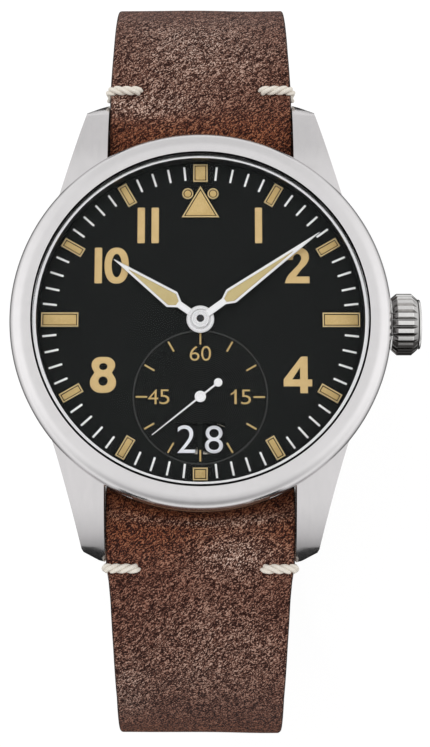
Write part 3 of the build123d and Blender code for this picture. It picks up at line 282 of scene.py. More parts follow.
def surfaceGroup():
    # fine variation of one finish: colour, roughness and a shallow relief from two noises
    group, given, out = newGroup("fineSurface", [
        ("Vector", "NodeSocketVector", None), ("Scale", "NodeSocketFloat", 2.0),
        ("Tone A", "NodeSocketColor", (0.5, 0.5, 0.5, 1)), ("Tone B", "NodeSocketColor", (0.6, 0.6, 0.6, 1)),
        ("Rough A", "NodeSocketFloat", 0.2), ("Rough B", "NodeSocketFloat", 0.3),
        ("Relief", "NodeSocketFloat", 0.1)],
        [("Color", "NodeSocketColor"), ("Roughness", "NodeSocketFloat"), ("Normal", "NodeSocketVector")])
    fine = addNode(group, "ShaderNodeTexNoise", {"Vector": given.outputs["Vector"],
                   "Scale": given.outputs["Scale"], "Detail": 4.0, "Roughness": 0.6})
    broad = addNode(group, "ShaderNodeTexNoise", {"Vector": given.outputs["Vector"],
                    "Scale": math2(group, "MULTIPLY", given.outputs["Scale"], 0.13), "Detail": 2.0})
    both = math2(group, "ADD", math2(group, "MULTIPLY", fine.outputs["Fac"], 0.5),
                 math2(group, "MULTIPLY", broad.outputs["Fac"], 0.5))
    mask = ramp(group, both, (0.35, 0.0), (0.65, 1.0))
    colour = mixColour(group, mask, given.outputs["Tone A"], given.outputs["Tone B"])
    rough = addNode(group, "ShaderNodeMapRange", {"Value": mask, "To Min": given.outputs["Rough A"],
                    "To Max": given.outputs["Rough B"]})
    bump = addNode(group, "ShaderNodeBump", {"Height": fine.outputs["Fac"], "Distance": 0.00002,
                   "Strength": given.outputs["Relief"]})
    group.links.new(colour, out.inputs["Color"])
    group.links.new(rough.outputs[0], out.inputs["Roughness"])
    group.links.new(bump.outputs[0], out.inputs["Normal"])
    return group


fineSurface = surfaceGroup()


def newMaterial(name):
    # a material with its tree and its shader
    material = bpy.data.materials.new(name)
    material.use_nodes = True
    tree = material.node_tree
    return material, tree, tree.nodes["Principled BSDF"]


def millimetres(tree, stretch=(1, 1, 1)):
    # object coordinates in millimetres, stretched along the axes
    place = addNode(tree, "ShaderNodeTexCoord")
    mapping = addNode(tree, "ShaderNodeMapping", {"Vector": place.outputs["Object"],
                      "Scale": tuple(s / mm for s in stretch)})
    return mapping.outputs[0]


def attribute(tree, name):
    # a value that the mesh carries at its points
    return addNode(tree, "ShaderNodeAttribute", attribute_name=name).outputs["Fac"]


def fineFinish(tree, toneA, toneB, roughA, roughB, scale, stretch, relief):
    # the fineSurface group placed in a material with the values of one finish
    surface = addNode(tree, "ShaderNodeGroup", node_tree=fineSurface)
    tree.links.new(millimetres(tree, stretch), surface.inputs["Vector"])
    for key, value in (("Scale", scale), ("Tone A", (*toneA, 1)), ("Tone B", (*toneB, 1)), ("Rough A", roughA),
                       ("Rough B", roughB), ("Relief", relief)):
        surface.inputs[key].default_value = value
    return surface


def finishMaterial(name, toneA, toneB, roughA, roughB, scale=2.0, stretch=(1, 1, 1), relief=0.1, **sockets):
    # a finish with two tones; sockets are the shader's own plain values
    material, tree, shader = newMaterial(name)
    surface = fineFinish(tree, toneA, toneB, roughA, roughB, scale, stretch, relief)
    tree.links.new(surface.outputs["Color"], shader.inputs["Base Color"])
    tree.links.new(surface.outputs["Roughness"], shader.inputs["Roughness"])
    tree.links.new(surface.outputs["Normal"], shader.inputs["Normal"])
    for key, value in sockets.items():
        shader.inputs[key.replace("_", " ")].default_value = value
    return material


# two tones, two roughnesses, scale, stretch and relief of each metal
finishes = {
    "caseSteel": ((0.62, 0.605, 0.61), (0.66, 0.64, 0.645), 0.16, 0.22, 2.0, (1, 0.15, 1), 0.01),
    "bezelSteel": ((0.655, 0.64, 0.645), (0.69, 0.675, 0.68), 0.17, 0.22, 1.0, (1, 1, 1), 0.005),
    "brightSteel": ((0.70, 0.70, 0.71), (0.76, 0.76, 0.77), 0.14, 0.2, 4.0, (1, 1, 1), 0.02),
    "screwSteel": ((0.45, 0.46, 0.48), (0.55, 0.56, 0.58), 0.2, 0.3, 6.0, (1, 1, 1), 0.05),
    "buckleSteel": ((0.6, 0.59, 0.6), (0.68, 0.66, 0.67), 0.18, 0.28, 3.0, (0.2, 3, 1), 0.1),
    "nickelPlate": ((0.6, 0.57, 0.5), (0.68, 0.64, 0.56), 0.2, 0.32, 5.0, (0.3, 3, 1), 0.15),
    "canSteel": ((0.62, 0.62, 0.64), (0.72, 0.72, 0.74), 0.15, 0.25, 4.0, (1, 1, 1), 0.05),
    "copperWire": ((0.55, 0.22, 0.08), (0.66, 0.3, 0.12), 0.25, 0.4, 6.0, (1, 8, 1), 0.5),
    "softIron": ((0.32, 0.32, 0.34), (0.42, 0.42, 0.44), 0.3, 0.45, 5.0, (1, 1, 1), 0.1),
    "wheelBrass": ((0.72, 0.52, 0.22), (0.8, 0.6, 0.28), 0.18, 0.3, 5.0, (1, 1, 1), 0.08),
}
metals = {}
for key, values in finishes.items():
    metals[key] = finishMaterial(key, *values[:4], scale=values[4], stretch=values[5], relief=values[6], Metallic=1.0)

gilt = finishMaterial("giltFrame", (0.58, 0.44, 0.22), (0.68, 0.53, 0.28), 0.28, 0.38, scale=6, relief=0.05,
                      Metallic=0.85)
lume = finishMaterial("agedLume", (0.50, 0.345, 0.135), (0.62, 0.45, 0.2), 0.55, 0.7, scale=5, relief=0.2,
                      Specular_IOR_Level=0.2)
numeralPaint = finishMaterial("numeralPaint", (0.57, 0.40, 0.175), (0.64, 0.46, 0.21), 0.5, 0.62, scale=6,
                              relief=0.1, Specular_IOR_Level=0.25)
handLume = finishMaterial("handLume", (0.46, 0.36, 0.16), (0.55, 0.45, 0.22), 0.5, 0.65, scale=6, relief=0.15,
                          Specular_IOR_Level=0.25)
tanPrint = finishMaterial("tanPrint", (0.50, 0.35, 0.13), (0.58, 0.42, 0.18), 0.45, 0.55, scale=8, relief=0.05,
                          Specular_IOR_Level=0.2)
whitePrint = finishMaterial("whitePrint", (0.88, 0.89, 0.88), (0.95, 0.95, 0.94), 0.45, 0.55, scale=8,
                            relief=0.05, Specular_IOR_Level=0.3)
dateWhite = finishMaterial("datePrint", (0.78, 0.79, 0.84), (0.86, 0.87, 0.92), 0.4, 0.5, scale=8, relief=0.05,
                           Specular_IOR_Level=0.3)
dialBlack = finishMaterial("dialBlack", (0.0052, 0.0061, 0.0060), (0.0072, 0.0084, 0.0080), 0.42, 0.5, scale=14,
                           relief=0.2, Specular_IOR_Level=0.06)
dateBlack = finishMaterial("dateBlack", (0.003, 0.003, 0.0035), (0.005, 0.005, 0.0055), 0.5, 0.6, scale=10,
                           relief=0.1, Specular_IOR_Level=0.1)
# black rubber of the seals and gaskets; also used as painted shade on the crystal's upright edge
sealAndShadeBlack = finishMaterial("sealAndShadeBlack", (0.002, 0.002, 0.002), (0.004, 0.004, 0.004), 0.5, 0.6, scale=6,
                           relief=0.1, Specular_IOR_Level=0.03)
pinBlack = finishMaterial("pinBlack", (0.02, 0.021, 0.023), (0.035, 0.036, 0.038), 0.25, 0.35, scale=10,
                          relief=0.05, Metallic=0.6)
grooveBlack = finishMaterial("grooveBlack", (0.0040, 0.0048, 0.0046), (0.0056, 0.0066, 0.0062), 0.26, 0.3, scale=14,
                             relief=0.05, Specular_IOR_Level=0.08)
rimGrey = finishMaterial("rimGrey", (0.016, 0.017, 0.016), (0.024, 0.025, 0.024), 0.3, 0.4, scale=8, relief=0.05,
                         Specular_IOR_Level=0.4)
flangeBlack = finishMaterial("flangeBlack", (0.008, 0.009, 0.009), (0.012, 0.013, 0.013), 0.35, 0.45, scale=8,
                             relief=0.1, Specular_IOR_Level=0.25)
ringWhite = finishMaterial("ringWhite", (0.7, 0.7, 0.68), (0.78, 0.78, 0.76), 0.4, 0.5, scale=4, relief=0.1)
boardGreen = finishMaterial("boardGreen", (0.02, 0.12, 0.05), (0.03, 0.17, 0.07), 0.35, 0.45, scale=5, relief=0.1)
chipBlack = finishMaterial("chipBlack", (0.01, 0.01, 0.01), (0.02, 0.02, 0.02), 0.5, 0.6, scale=6, relief=0.2)
handSteel = finishMaterial("handSteel", (0.78, 0.78, 0.79), (0.86, 0.86, 0.87), 0.3, 0.42, scale=6, relief=0.04,
                           Metallic=0.8)
print("materials ready")


def crownMaterial():
    # bright steel, dull and dark with painted shade at the bottom of the flutes, on the sloping ends and on the lower
    # side
    material, tree, shader = newMaterial("crownSteel")
    surface = fineFinish(tree, (0.66, 0.65, 0.64), (0.74, 0.73, 0.72), 0.16, 0.24, 4.0, (1, 1, 1), 0.02)
    paintedDark = ramp(tree, attribute(tree, "paintedShade"), (0.2, 0.0), (0.75, 1.0))
    colour = mixColour(tree, paintedDark, surface.outputs["Color"], (0.05, 0.047, 0.045, 1))
    tree.links.new(colour, shader.inputs["Base Color"])
    tree.links.new(surface.outputs["Roughness"], shader.inputs["Roughness"])
    tree.links.new(surface.outputs["Normal"], shader.inputs["Normal"])
    shader.inputs["Metallic"].default_value = 1.0
    return material


crownSteel = crownMaterial()


def glassMaterial():
    # clear crystal with a quiet coating; light passes straight through to the dial
    material, tree, shader = newMaterial("crystalGlass")
    for key, value in (("Base Color", (1, 1, 1, 1)), ("Roughness", 0.0), ("IOR", 1.1),
                       ("Transmission Weight", 1.0)):
        shader.inputs[key].default_value = value
    clear = addNode(tree, "ShaderNodeBsdfTransparent")
    path = addNode(tree, "ShaderNodeLightPath")
    shadowOrDiffuse = math2(tree, "MAXIMUM", path.outputs["Is Shadow Ray"], path.outputs["Is Diffuse Ray"])
    mix = addNode(tree, "ShaderNodeMixShader")
    tree.links.new(shadowOrDiffuse, mix.inputs[0])
    tree.links.new(shader.outputs[0], mix.inputs[1])
    tree.links.new(clear.outputs[0], mix.inputs[2])
    tree.links.new(mix.outputs[0], tree.nodes["Material Output"].inputs["Surface"])
    return material


crystalGlass = glassMaterial()


# look of the leather; the pale body and top colours are painted sheen, the redder ones painted shade
leatherLook = {
    "warp": 0.8, "warpScale": 0.6, "lean": -0.7, "drawn": (0.7, 1.25, 1.0), "lines": (0.45, 1.8, 1.0),
    "grainScale": 7.2, "creaseScale": 1.9, "pebbleScale": 5.2, "broadScale": 0.14,
    "grainShare": 0.4, "pebbleShare": 0.36, "creaseShare": 0.24, "sheenShare": 0.6, "wornLeast": 0.4,
    "pit": (0.018, 0.004, 0.002, 1), "body": (0.135, 0.034, 0.016, 1), "bodyPaintedSheen": (0.25, 0.112, 0.072, 1),
    "bodyRuddyShade": (0.21, 0.043, 0.010, 1), "top": (0.46, 0.25, 0.165, 1), "topPaintedSheen": (0.66, 0.50, 0.42, 1),
    "topRuddyShade": (0.54, 0.25, 0.11, 1), "lining": (0.19, 0.095, 0.05, 1), "liningShare": 0.9,
    "edge": (0.010, 0.005, 0.003, 1), "edgeShare": 0.85,
    "roughLow": 0.65, "roughHigh": 0.38, "glossLow": 0.04, "glossHigh": 0.5}


def leatherGroup():
    # waxed leather: small pebbles along slanting creases, dark pits between them, red-brown body, pale tops; pale
    # patches are painted sheen and the redder tone is painted shade
    look = leatherLook
    group, given, out = newGroup("waxedLeather", [
        ("Vector", "NodeSocketVector", None), ("Ruddy Shade", "NodeSocketFloat", 0.0), ("Painted Sheen", "NodeSocketFloat", 0.4)],
        [("Color", "NodeSocketColor"), ("Roughness", "NodeSocketFloat"), ("Specular", "NodeSocketFloat"),
         ("Normal", "NodeSocketVector")])
    vector = given.outputs["Vector"]
    warp = addNode(group, "ShaderNodeTexNoise", {"Vector": vector, "Scale": look["warpScale"], "Detail": 2.0})
    bent = addNode(group, "ShaderNodeVectorMath", operation="MULTIPLY_ADD")
    group.links.new(warp.outputs["Color"], bent.inputs[0])
    bent.inputs[1].default_value = (look["warp"],) * 3
    group.links.new(vector, bent.inputs[2])
    leaned = addNode(group, "ShaderNodeMapping", {"Vector": bent.outputs[0], "Rotation": (0, 0, look["lean"])})
    drawn = addNode(group, "ShaderNodeMapping", {"Vector": leaned.outputs[0], "Scale": look["drawn"]})
    fine = addNode(group, "ShaderNodeTexNoise", {"Vector": drawn.outputs[0], "Scale": look["grainScale"],
                   "Detail": 2.0, "Roughness": 0.5})
    lines = addNode(group, "ShaderNodeMapping", {"Vector": leaned.outputs[0], "Scale": look["lines"]})
    crease = addNode(group, "ShaderNodeTexNoise", {"Vector": lines.outputs[0], "Scale": look["creaseScale"],
                     "Detail": 3.0, "Roughness": 0.6})
    pebble = addNode(group, "ShaderNodeTexVoronoi", {"Vector": drawn.outputs[0], "Scale": look["pebbleScale"]})
    broad = addNode(group, "ShaderNodeTexNoise", {"Vector": vector, "Scale": look["broadScale"], "Detail": 3.0,
                    "Roughness": 0.6})
    grain = ramp(group, fine.outputs["Fac"], (0.36, 0.0), (0.64, 1.0))
    bead = ramp(group, pebble.outputs["Distance"], (0.05, 1.0), (0.65, 0.0))
    fold = ramp(group, crease.outputs["Fac"], (0.34, 0.0), (0.62, 1.0))
    small = math2(group, "MULTIPLY", grain, look["grainShare"])
    large = math2(group, "ADD", math2(group, "MULTIPLY", bead, look["pebbleShare"]),
                  math2(group, "MULTIPLY", fold, look["creaseShare"]))
    height = math2(group, "ADD", small, large)
    sheenPatch = math2(group, "MULTIPLY", given.outputs["Painted Sheen"],
                  ramp(group, broad.outputs["Fac"], (0.3, 0.65), (0.6, 1.0)))
    body = mixColour(group, given.outputs["Ruddy Shade"], mixColour(group, sheenPatch, look["body"], look["bodyPaintedSheen"]),
                     look["bodyRuddyShade"])
    top = mixColour(group, given.outputs["Ruddy Shade"], mixColour(group, sheenPatch, look["top"], look["topPaintedSheen"]),
                    look["topRuddyShade"])
    tone = mixColour(group, ramp(group, height, (0.34, 0.0), (0.56, 1.0)), look["pit"], body)
    wearAndSheen = math2(group, "MULTIPLY", ramp(group, height, (0.5, 0.0), (0.7, 1.0)),
                 math2(group, "ADD", math2(group, "MULTIPLY", sheenPatch, look["sheenShare"]), look["wornLeast"]))
    colour = mixColour(group, wearAndSheen, tone, top)
    rough = addNode(group, "ShaderNodeMapRange", {"Value": height, "To Min": look["roughLow"],
                    "To Max": look["roughHigh"]})
    sheen = addNode(group, "ShaderNodeMapRange", {"Value": height, "To Min": look["glossLow"],
                    "To Max": look["glossHigh"]})
    bump = addNode(group, "ShaderNodeBump", {"Height": height, "Distance": 0.0001, "Strength": 1.0})
    group.links.new(colour, out.inputs["Color"])
    group.links.new(rough.outputs[0], out.inputs["Roughness"])
    group.links.new(sheen.outputs[0], out.inputs["Specular"])
    group.links.new(bump.outputs[0], out.inputs["Normal"])
    return group


waxedLeather = leatherGroup()


def leatherMaterial(name):
    # the mesh's attributes: a redder tone that is painted shade by the case and on the hanging curl, pale patches of
    # painted sheen, "lining" for the back and "edge" for the dark painted edge
    look = leatherLook
    material, tree, shader = newMaterial(name)
    skin = addNode(tree, "ShaderNodeGroup", node_tree=waxedLeather)
    tree.links.new(millimetres(tree), skin.inputs["Vector"])
    tree.links.new(attribute(tree, "ruddyShade"), skin.inputs["Ruddy Shade"])
    tree.links.new(attribute(tree, "wearAndSheen"), skin.inputs["Painted Sheen"])
    back = mixColour(tree, math2(tree, "MULTIPLY", attribute(tree, "lining"), look["liningShare"]),
                     skin.outputs["Color"], look["lining"])
    dark = mixColour(tree, math2(tree, "MULTIPLY", attribute(tree, "edge"), look["edgeShare"]), back, look["edge"])
    tree.links.new(dark, shader.inputs["Base Color"])
    tree.links.new(skin.outputs["Roughness"], shader.inputs["Roughness"])
    tree.links.new(skin.outputs["Normal"], shader.inputs["Normal"])
    tree.links.new(skin.outputs["Specular"], shader.inputs["Specular IOR Level"])
    return material


leather = leatherMaterial("strapLeather")


def threadMaterial():
    # waxed linen: thin fibres along the strand, with painted shade between the plies
    material, tree, shader = newMaterial("linenThread")
    fibre = addNode(tree, "ShaderNodeTexNoise", {"Vector": millimetres(tree, (3, 9, 9)), "Scale": 1.6,
                    "Detail": 4.0})
    pale = mixColour(tree, fibre.outputs["Fac"], (0.62, 0.55, 0.46, 1), (0.92, 0.88, 0.8, 1))
    colour = mixColour(tree, attribute(tree, "plyShade"), pale, (0.3, 0.23, 0.16, 1))
    bump = addNode(tree, "ShaderNodeBump", {"Height": fibre.outputs["Fac"], "Distance": 0.00003,
                   "Strength": 0.5})
    tree.links.new(colour, shader.inputs["Base Color"])
    tree.links.new(bump.outputs[0], shader.inputs["Normal"])
    shader.inputs["Roughness"].default_value = 0.75
    return material


thread = threadMaterial()

view = {"place": (0.48, -42.76, 228.98), "tilt": 13.506, "lean": -1.141, "focal": 102.597, "shiftX": 0.07029,
        "shiftY": -0.20177}


def setCamera():
    # the camera hangs over the dial, towards 6 o'clock, with its frame shifted back over the watch
    tilt, lean = math.radians(-view["tilt"]), math.radians(view["lean"])
    turn = Matrix.Rotation(lean, 3, "Y") @ Matrix.Rotation(tilt, 3, "X")
    data = bpy.data.cameras.new("camera")
    data.lens = view["focal"]
    data.sensor_fit = "AUTO"
    data.sensor_width = 36
    data.shift_x, data.shift_y = view["shiftX"], view["shiftY"]
    data.clip_start, data.clip_end = 0.005, 20
    camera = bpy.data.objects.new("camera", data)
    bpy.context.scene.collection.objects.link(camera)
    camera.matrix_world = Matrix.Translation(Vector(view["place"]) * mm) @ turn.transposed().to_4x4()
    bpy.context.scene.camera = camera


setCamera()

studio = {"floor": -49.55, "floorSize": 1.6, "glow": 1.1, "glowShare": 0.8, "world": 0.7,
          "lampSize": 0.5, "key": 2.1, "fill": 1.0, "turns": 96,
          "domeRadius": 420.0, "domeRows": 60, "sides": 0.3, "ends": 0.16, "bandFrom": 25, "bandReach": 30,
          "dip": 0.45, "dipAt": 78, "dipReach": 16,
          "cards": ((9.5, 16.0, -31.5, -6.0, 5.0), (9.5, 16.0, 31.5, -9.0, 0.5)), "cardGlow": 0.02,
          "rings": ((23, 0.01), (58, 0.02), (78, 0.3), (115, 0.75), (180, 1.0), (240, 1.05))}


def softLamp(name, size, watts, place):
    # a round lamp that lights the object but leaves no spot in the metal
    data = bpy.data.lights.new(name, "AREA")
    data.shape = "DISK"
    data.size = size
    data.energy = watts
    lamp = bpy.data.objects.new(name, data)
    bpy.context.scene.collection.objects.link(lamp)
    lamp.location = place
    lamp.rotation_euler = (-Vector(place)).to_track_quat("-Z", "Y").to_euler()
    lamp.visible_glossy = False
    lamp.visible_transmission = False


def seenRays(tree):
    # one for camera, glossy and transmission rays
    path = addNode(tree, "ShaderNodeLightPath")
    return math2(tree, "MAXIMUM", path.outputs["Is Camera Ray"],
                 math2(tree, "MAXIMUM", path.outputs["Is Glossy Ray"], path.outputs["Is Transmission Ray"]))


def mixShaders(tree, factor, first, second, output):
    # the second shader where the factor is 1, led to the output's surface
    mix = addNode(tree, "ShaderNodeMixShader")
    tree.links.new(factor, mix.inputs[0])
    tree.links.new(first.outputs[0], mix.inputs[1])
    tree.links.new(second.outputs[0], mix.inputs[2])
    tree.links.new(mix.outputs[0], tree.nodes[output].inputs["Surface"])


def setStudio():
    # an even world and a pale floor that keeps the watch's shadow; both look white to the camera
    scene = bpy.context.scene
    scene.view_settings.view_transform = "Standard"
    world = bpy.data.worlds.new("studio")
    scene.world = world
    world.use_nodes = True
    tree = world.node_tree
    soft = tree.nodes["Background"]
    soft.inputs["Color"].default_value = (1, 1, 1, 1)
    soft.inputs["Strength"].default_value = studio["world"]
    white = addNode(tree, "ShaderNodeBackground", {"Color": (1, 1, 1, 1), "Strength": 1.0})
    mixShaders(tree, seenRays(tree), soft, white, "World Output")

    reach = studio["floorSize"]
    mesh = bpy.data.meshes.new("floor")
    corners = [(-reach, -reach), (reach, -reach), (reach, reach), (-reach, reach)]
    mesh.from_pydata([(x, y, studio["floor"] * mm) for x, y in corners], [], [(0, 1, 2, 3)])
    floor = bpy.data.objects.new("floor", mesh)
    scene.collection.objects.link(floor)
    material, tree, shader = newMaterial("paleFloor")
    shader.inputs["Base Color"].default_value = (0.9, 0.9, 0.9, 1)
    shader.inputs["Roughness"].default_value = 0.9
    glow = addNode(tree, "ShaderNodeEmission", {"Color": (1, 1, 1, 1), "Strength": studio["glow"]})
    mixShaders(tree, math2(tree, "MULTIPLY", seenRays(tree), studio["glowShare"]), shader, glow, "Material Output")
    mesh.materials.append(material)


def glossyStage(name, points, faces, glow):
    # a stage mesh seen only by reflections, as bright as its own attribute says
    mesh = meshFrom(name, points, faces, {"glow": glow})
    stage = bpy.data.objects.new(name, mesh)
    bpy.context.scene.collection.objects.link(stage)
    material, tree, shader = newMaterial(name)
    light = addNode(tree, "ShaderNodeEmission", {"Color": (1, 1, 1, 1), "Strength": attribute(tree, "glow")})
    tree.links.new(light.outputs[0], tree.nodes["Material Output"].inputs["Surface"])
    mesh.materials.append(material)
    for rays in ("camera", "diffuse", "shadow", "transmission"):
        setattr(stage, "visible_" + rays, False)


def reflectionRings():
    # a ring low round the watch, dark near it and pale far out, with four small dark cards off the lug ends
    turn = np.linspace(0, 2 * np.pi, studio["turns"], endpoint=False)
    low = np.full_like(turn, studio["floor"] + 0.6)
    points = np.stack([np.stack([r * np.cos(turn), r * np.sin(turn), low], -1) for r, _ in studio["rings"]])
    glow = np.repeat([value for _, value in studio["rings"]], len(turn))
    points = points.reshape(-1, 3)
    faces = gridFaces(len(studio["rings"]), studio["turns"], False, True).tolist()
    for near, far, y, bottom, top in studio["cards"]:
        for side in (1, -1):
            first = len(points)
            corners = [(side * near, y, bottom), (side * far, y, bottom), (side * far, y, top),
                       (side * near, y, top)]
            points = np.concatenate([points, corners])
            glow = np.concatenate([glow, [studio["cardGlow"]] * 4])
            faces.append([first, first + 1, first + 2, first + 3])
    glossyStage("lowRings", points, faces, glow)


def reflectionDome():
    # softbox sky: white overhead, brighter low at the sides, darker low at both ends and darkest towards 6 o'clock
    s = studio
    fall, turn = np.meshgrid(np.radians(np.linspace(0.5, 97, s["domeRows"])),
                             np.linspace(0, 2 * np.pi, s["turns"], endpoint=False), indexing="ij")
    degrees = np.degrees(fall)
    low = np.clip((degrees - s["bandFrom"]) / s["bandReach"], 0, 1)
    low = low * low * (3 - 2 * low)
    end = np.sin(turn) ** 2
    south = np.clip(-np.sin(turn), 0, 1) ** 2
    dip = s["dip"] * south * np.exp(-((degrees - s["dipAt"]) / s["dipReach"]) ** 2)
    glow = 1 + low * (s["sides"] * (1 - end) - s["ends"] * end) - dip
    points = s["domeRadius"] * np.stack([np.sin(fall) * np.cos(turn), np.sin(fall) * np.sin(turn), np.cos(fall)], -1)
    faces = gridFaces(s["domeRows"], s["turns"], False, True).tolist()
    glossyStage("softSky", points.reshape(-1, 3), faces, glow.ravel())


reflectionRings()
reflectionDome()
softLamp("keyLamp", studio["lampSize"], studio["key"], (-0.35, 0.25, 0.75))
softLamp("fillLamp", studio["lampSize"], studio["fill"], (0.5, -0.2, 0.6))
setStudio()
print("camera and studio ready")

bezelShape = {"foot": 6.6, "outer": 20.2, "undercut": 19.9, "waist": 7.9, "shoulder": (19.72, 8.75),
              "crest": (18.5, 9.3), "inner": 17.84, "lip": 0.17, "seat": 8.4, "bore": 17.95}


def bezelRing():
    # a profile carried round Z: an arc over the slope, a quarter circle for the lip, then bore, foot and undercut
    s = bezelShape
    slope = threePointArc((s["outer"], s["waist"]), s["shoulder"], s["crest"], 40)
    lip = arcPoints((s["inner"] + s["lip"], s["crest"][1] - s["lip"]), s["lip"], 90, 180, 8)
    rest = [(s["inner"], s["seat"]), (s["bore"], s["seat"]), (s["bore"], s["foot"]), (s["undercut"], s["foot"]),
            (s["outer"] - 0.04, s["foot"] + 0.22), (s["outer"], s["foot"] + 0.3)]
    return turned("bezelRing", np.concatenate([slope, lip, rest]), 360)


addPiece("bezelRing", bezelRing(), "case", metals["bezelSteel"], ["bezel"])

rehautShape = {"low": 6.6, "high": 8.38, "foot": 17.3, "lip": 17.35, "outer": 17.94, "round": 0.04, "wallTop": 8.3}


def rehautRing():
    # a profile carried round Z: a nearly upright inner wall, a small round lip, a flat top and an upright outside
    s = rehautShape
    top = arcPoints((s["lip"] + s["round"], s["high"] - s["round"]), s["round"], 172, 90, 6)
    wall = [(s["foot"], s["low"]), (s["lip"] - 0.002, s["wallTop"])]
    profile = np.concatenate([wall, top, [(s["outer"], s["high"]), (s["outer"], s["low"])]])
    return turned("rehautTurned", profile, 360)


rehaut = addPiece("rehautTurned", rehautRing(), "case", metals["brightSteel"], ["rehaut_ring"])
rehaut.data.materials.append(flangeBlack)
middles = faceValues(rehaut.data, "center") / mm
inside = np.hypot(middles[:, 0], middles[:, 1]) < rehautShape["lip"] + 0.01
onWall = inside & (middles[:, 2] < rehautShape["wallTop"])
rehaut.data.polygons.foreach_set("material_index", onWall.astype(np.int32))  # the inner wall is black

gasketShape = {"low": 8.4, "high": 9.2, "inner": 17.7, "outer": 17.84, "round": 0.05}


def gasketRing():
    # a profile carried round Z: a thin upright band whose two top corners are quarter circles
    s = gasketShape
    top = np.concatenate([arcPoints((s["outer"] - s["round"], s["high"] - s["round"]), s["round"], 0, 90, 6),
                          arcPoints((s["inner"] + s["round"], s["high"] - s["round"]), s["round"], 90, 180, 6)])
    return turned("gasketRing", np.concatenate([[(s["inner"], s["low"]), (s["outer"], s["low"])], top]), 360)


addPiece("gasketRing", gasketRing(), "case", sealAndShadeBlack, ["crystal_gasket"])

crystalShape = {"low": 8.4, "edge": 9.31, "radius": 17.69, "bevel": 0.04, "dome": 0.4}


def crystalDome():
    # a profile carried round Z: flat below, an upright edge, and above it an arc through edge and dome top
    s = crystalShape
    reach = s["radius"] - s["bevel"]
    foot = s["edge"] + s["bevel"]
    bend = (reach ** 2 + s["dome"] ** 2) / (2 * s["dome"])
    across = np.linspace(1, 0, 40) * reach
    dome = np.stack([across, foot + s["dome"] - (bend - np.sqrt(bend ** 2 - across ** 2))], 1)
    bottom = np.stack([np.linspace(0, s["radius"], 12), np.full(12, s["low"])], 1)
    profile = np.concatenate([bottom, [(s["radius"], s["edge"])], dome])
    return turned("crystalDome", profile, 256, closed=False)


crystal = addPiece("crystalDome", crystalDome(), "case", crystalGlass, ["crystal"])
crystal.data.materials.append(sealAndShadeBlack)
middles = faceValues(crystal.data, "center") / mm
upright = np.abs(faceValues(crystal.data, "normal")[:, 2]) < 0.2
shadedEdge = upright & (np.hypot(middles[:, 0], middles[:, 1]) > crystalShape["radius"] - 0.1)
# the crystal's upright edge is painted black with the seals' material: painted shade in the ring between crystal and
# gasket
crystal.data.polygons.foreach_set("material_index", shadedEdge.astype(np.int32))  # the ground edge looks black
print("bezel and crystal ready")


def softenedCopy(name, nodeName, width, steps, angle=28, merge=1.5e-6):
    # a CAD node's shape with small rounded edges, for pieces whose form is already right
    mesh = nodes[nodeName].data.copy()
    mesh.name = name
    bm = bmesh.new()
    bm.from_mesh(mesh)
    bmesh.ops.remove_doubles(bm, verts=bm.verts, dist=merge)
    bmesh.ops.dissolve_limit(bm, angle_limit=math.radians(0.6), verts=bm.verts, edges=bm.edges)
    edges = [e for e in bm.edges if len(e.link_faces) == 2 and e.calc_face_angle(0) > math.radians(angle)]
    bmesh.ops.bevel(bm, geom=edges, offset=width * mm, segments=steps, profile=0.5, affect="EDGES",
                    clamp_overlap=True)
    bmesh.ops.recalc_face_normals(bm, faces=bm.faces)
    bm.to_mesh(mesh)
    bm.free()
    return mesh


addPiece("caseBody", softenedCopy("caseBody", "case_middle", 0.12, 2), "case", metals["caseSteel"],
         ["case_middle"], 20)
print("case ready")

crownShape = {"start": 20.36, "length": 2.75, "radius": 3.3, "flutes": 24, "depth": 0.48, "bevel": 0.6,
              "slope": 0.9, "cap": 2.66, "capHeight": 0.35, "neck": 2.35, "cup": 1.85, "cupDepth": 1.9, "axis": 4.3,
              "flank": 0.38, "stepsPerFlute": 24}
# how dark the painted shade is in the grooves, on the two sloping ends and on the ridges' underside
crownPaintedShade = {"groove": 0.2, "grooveLow": 1.1, "fade": 0.08, "left": 0.6, "right": 0.25, "rightLow": 0.4,
              "underFrom": 0.84, "underReach": 0.06, "ridge": 0.62, "under": 0.75}


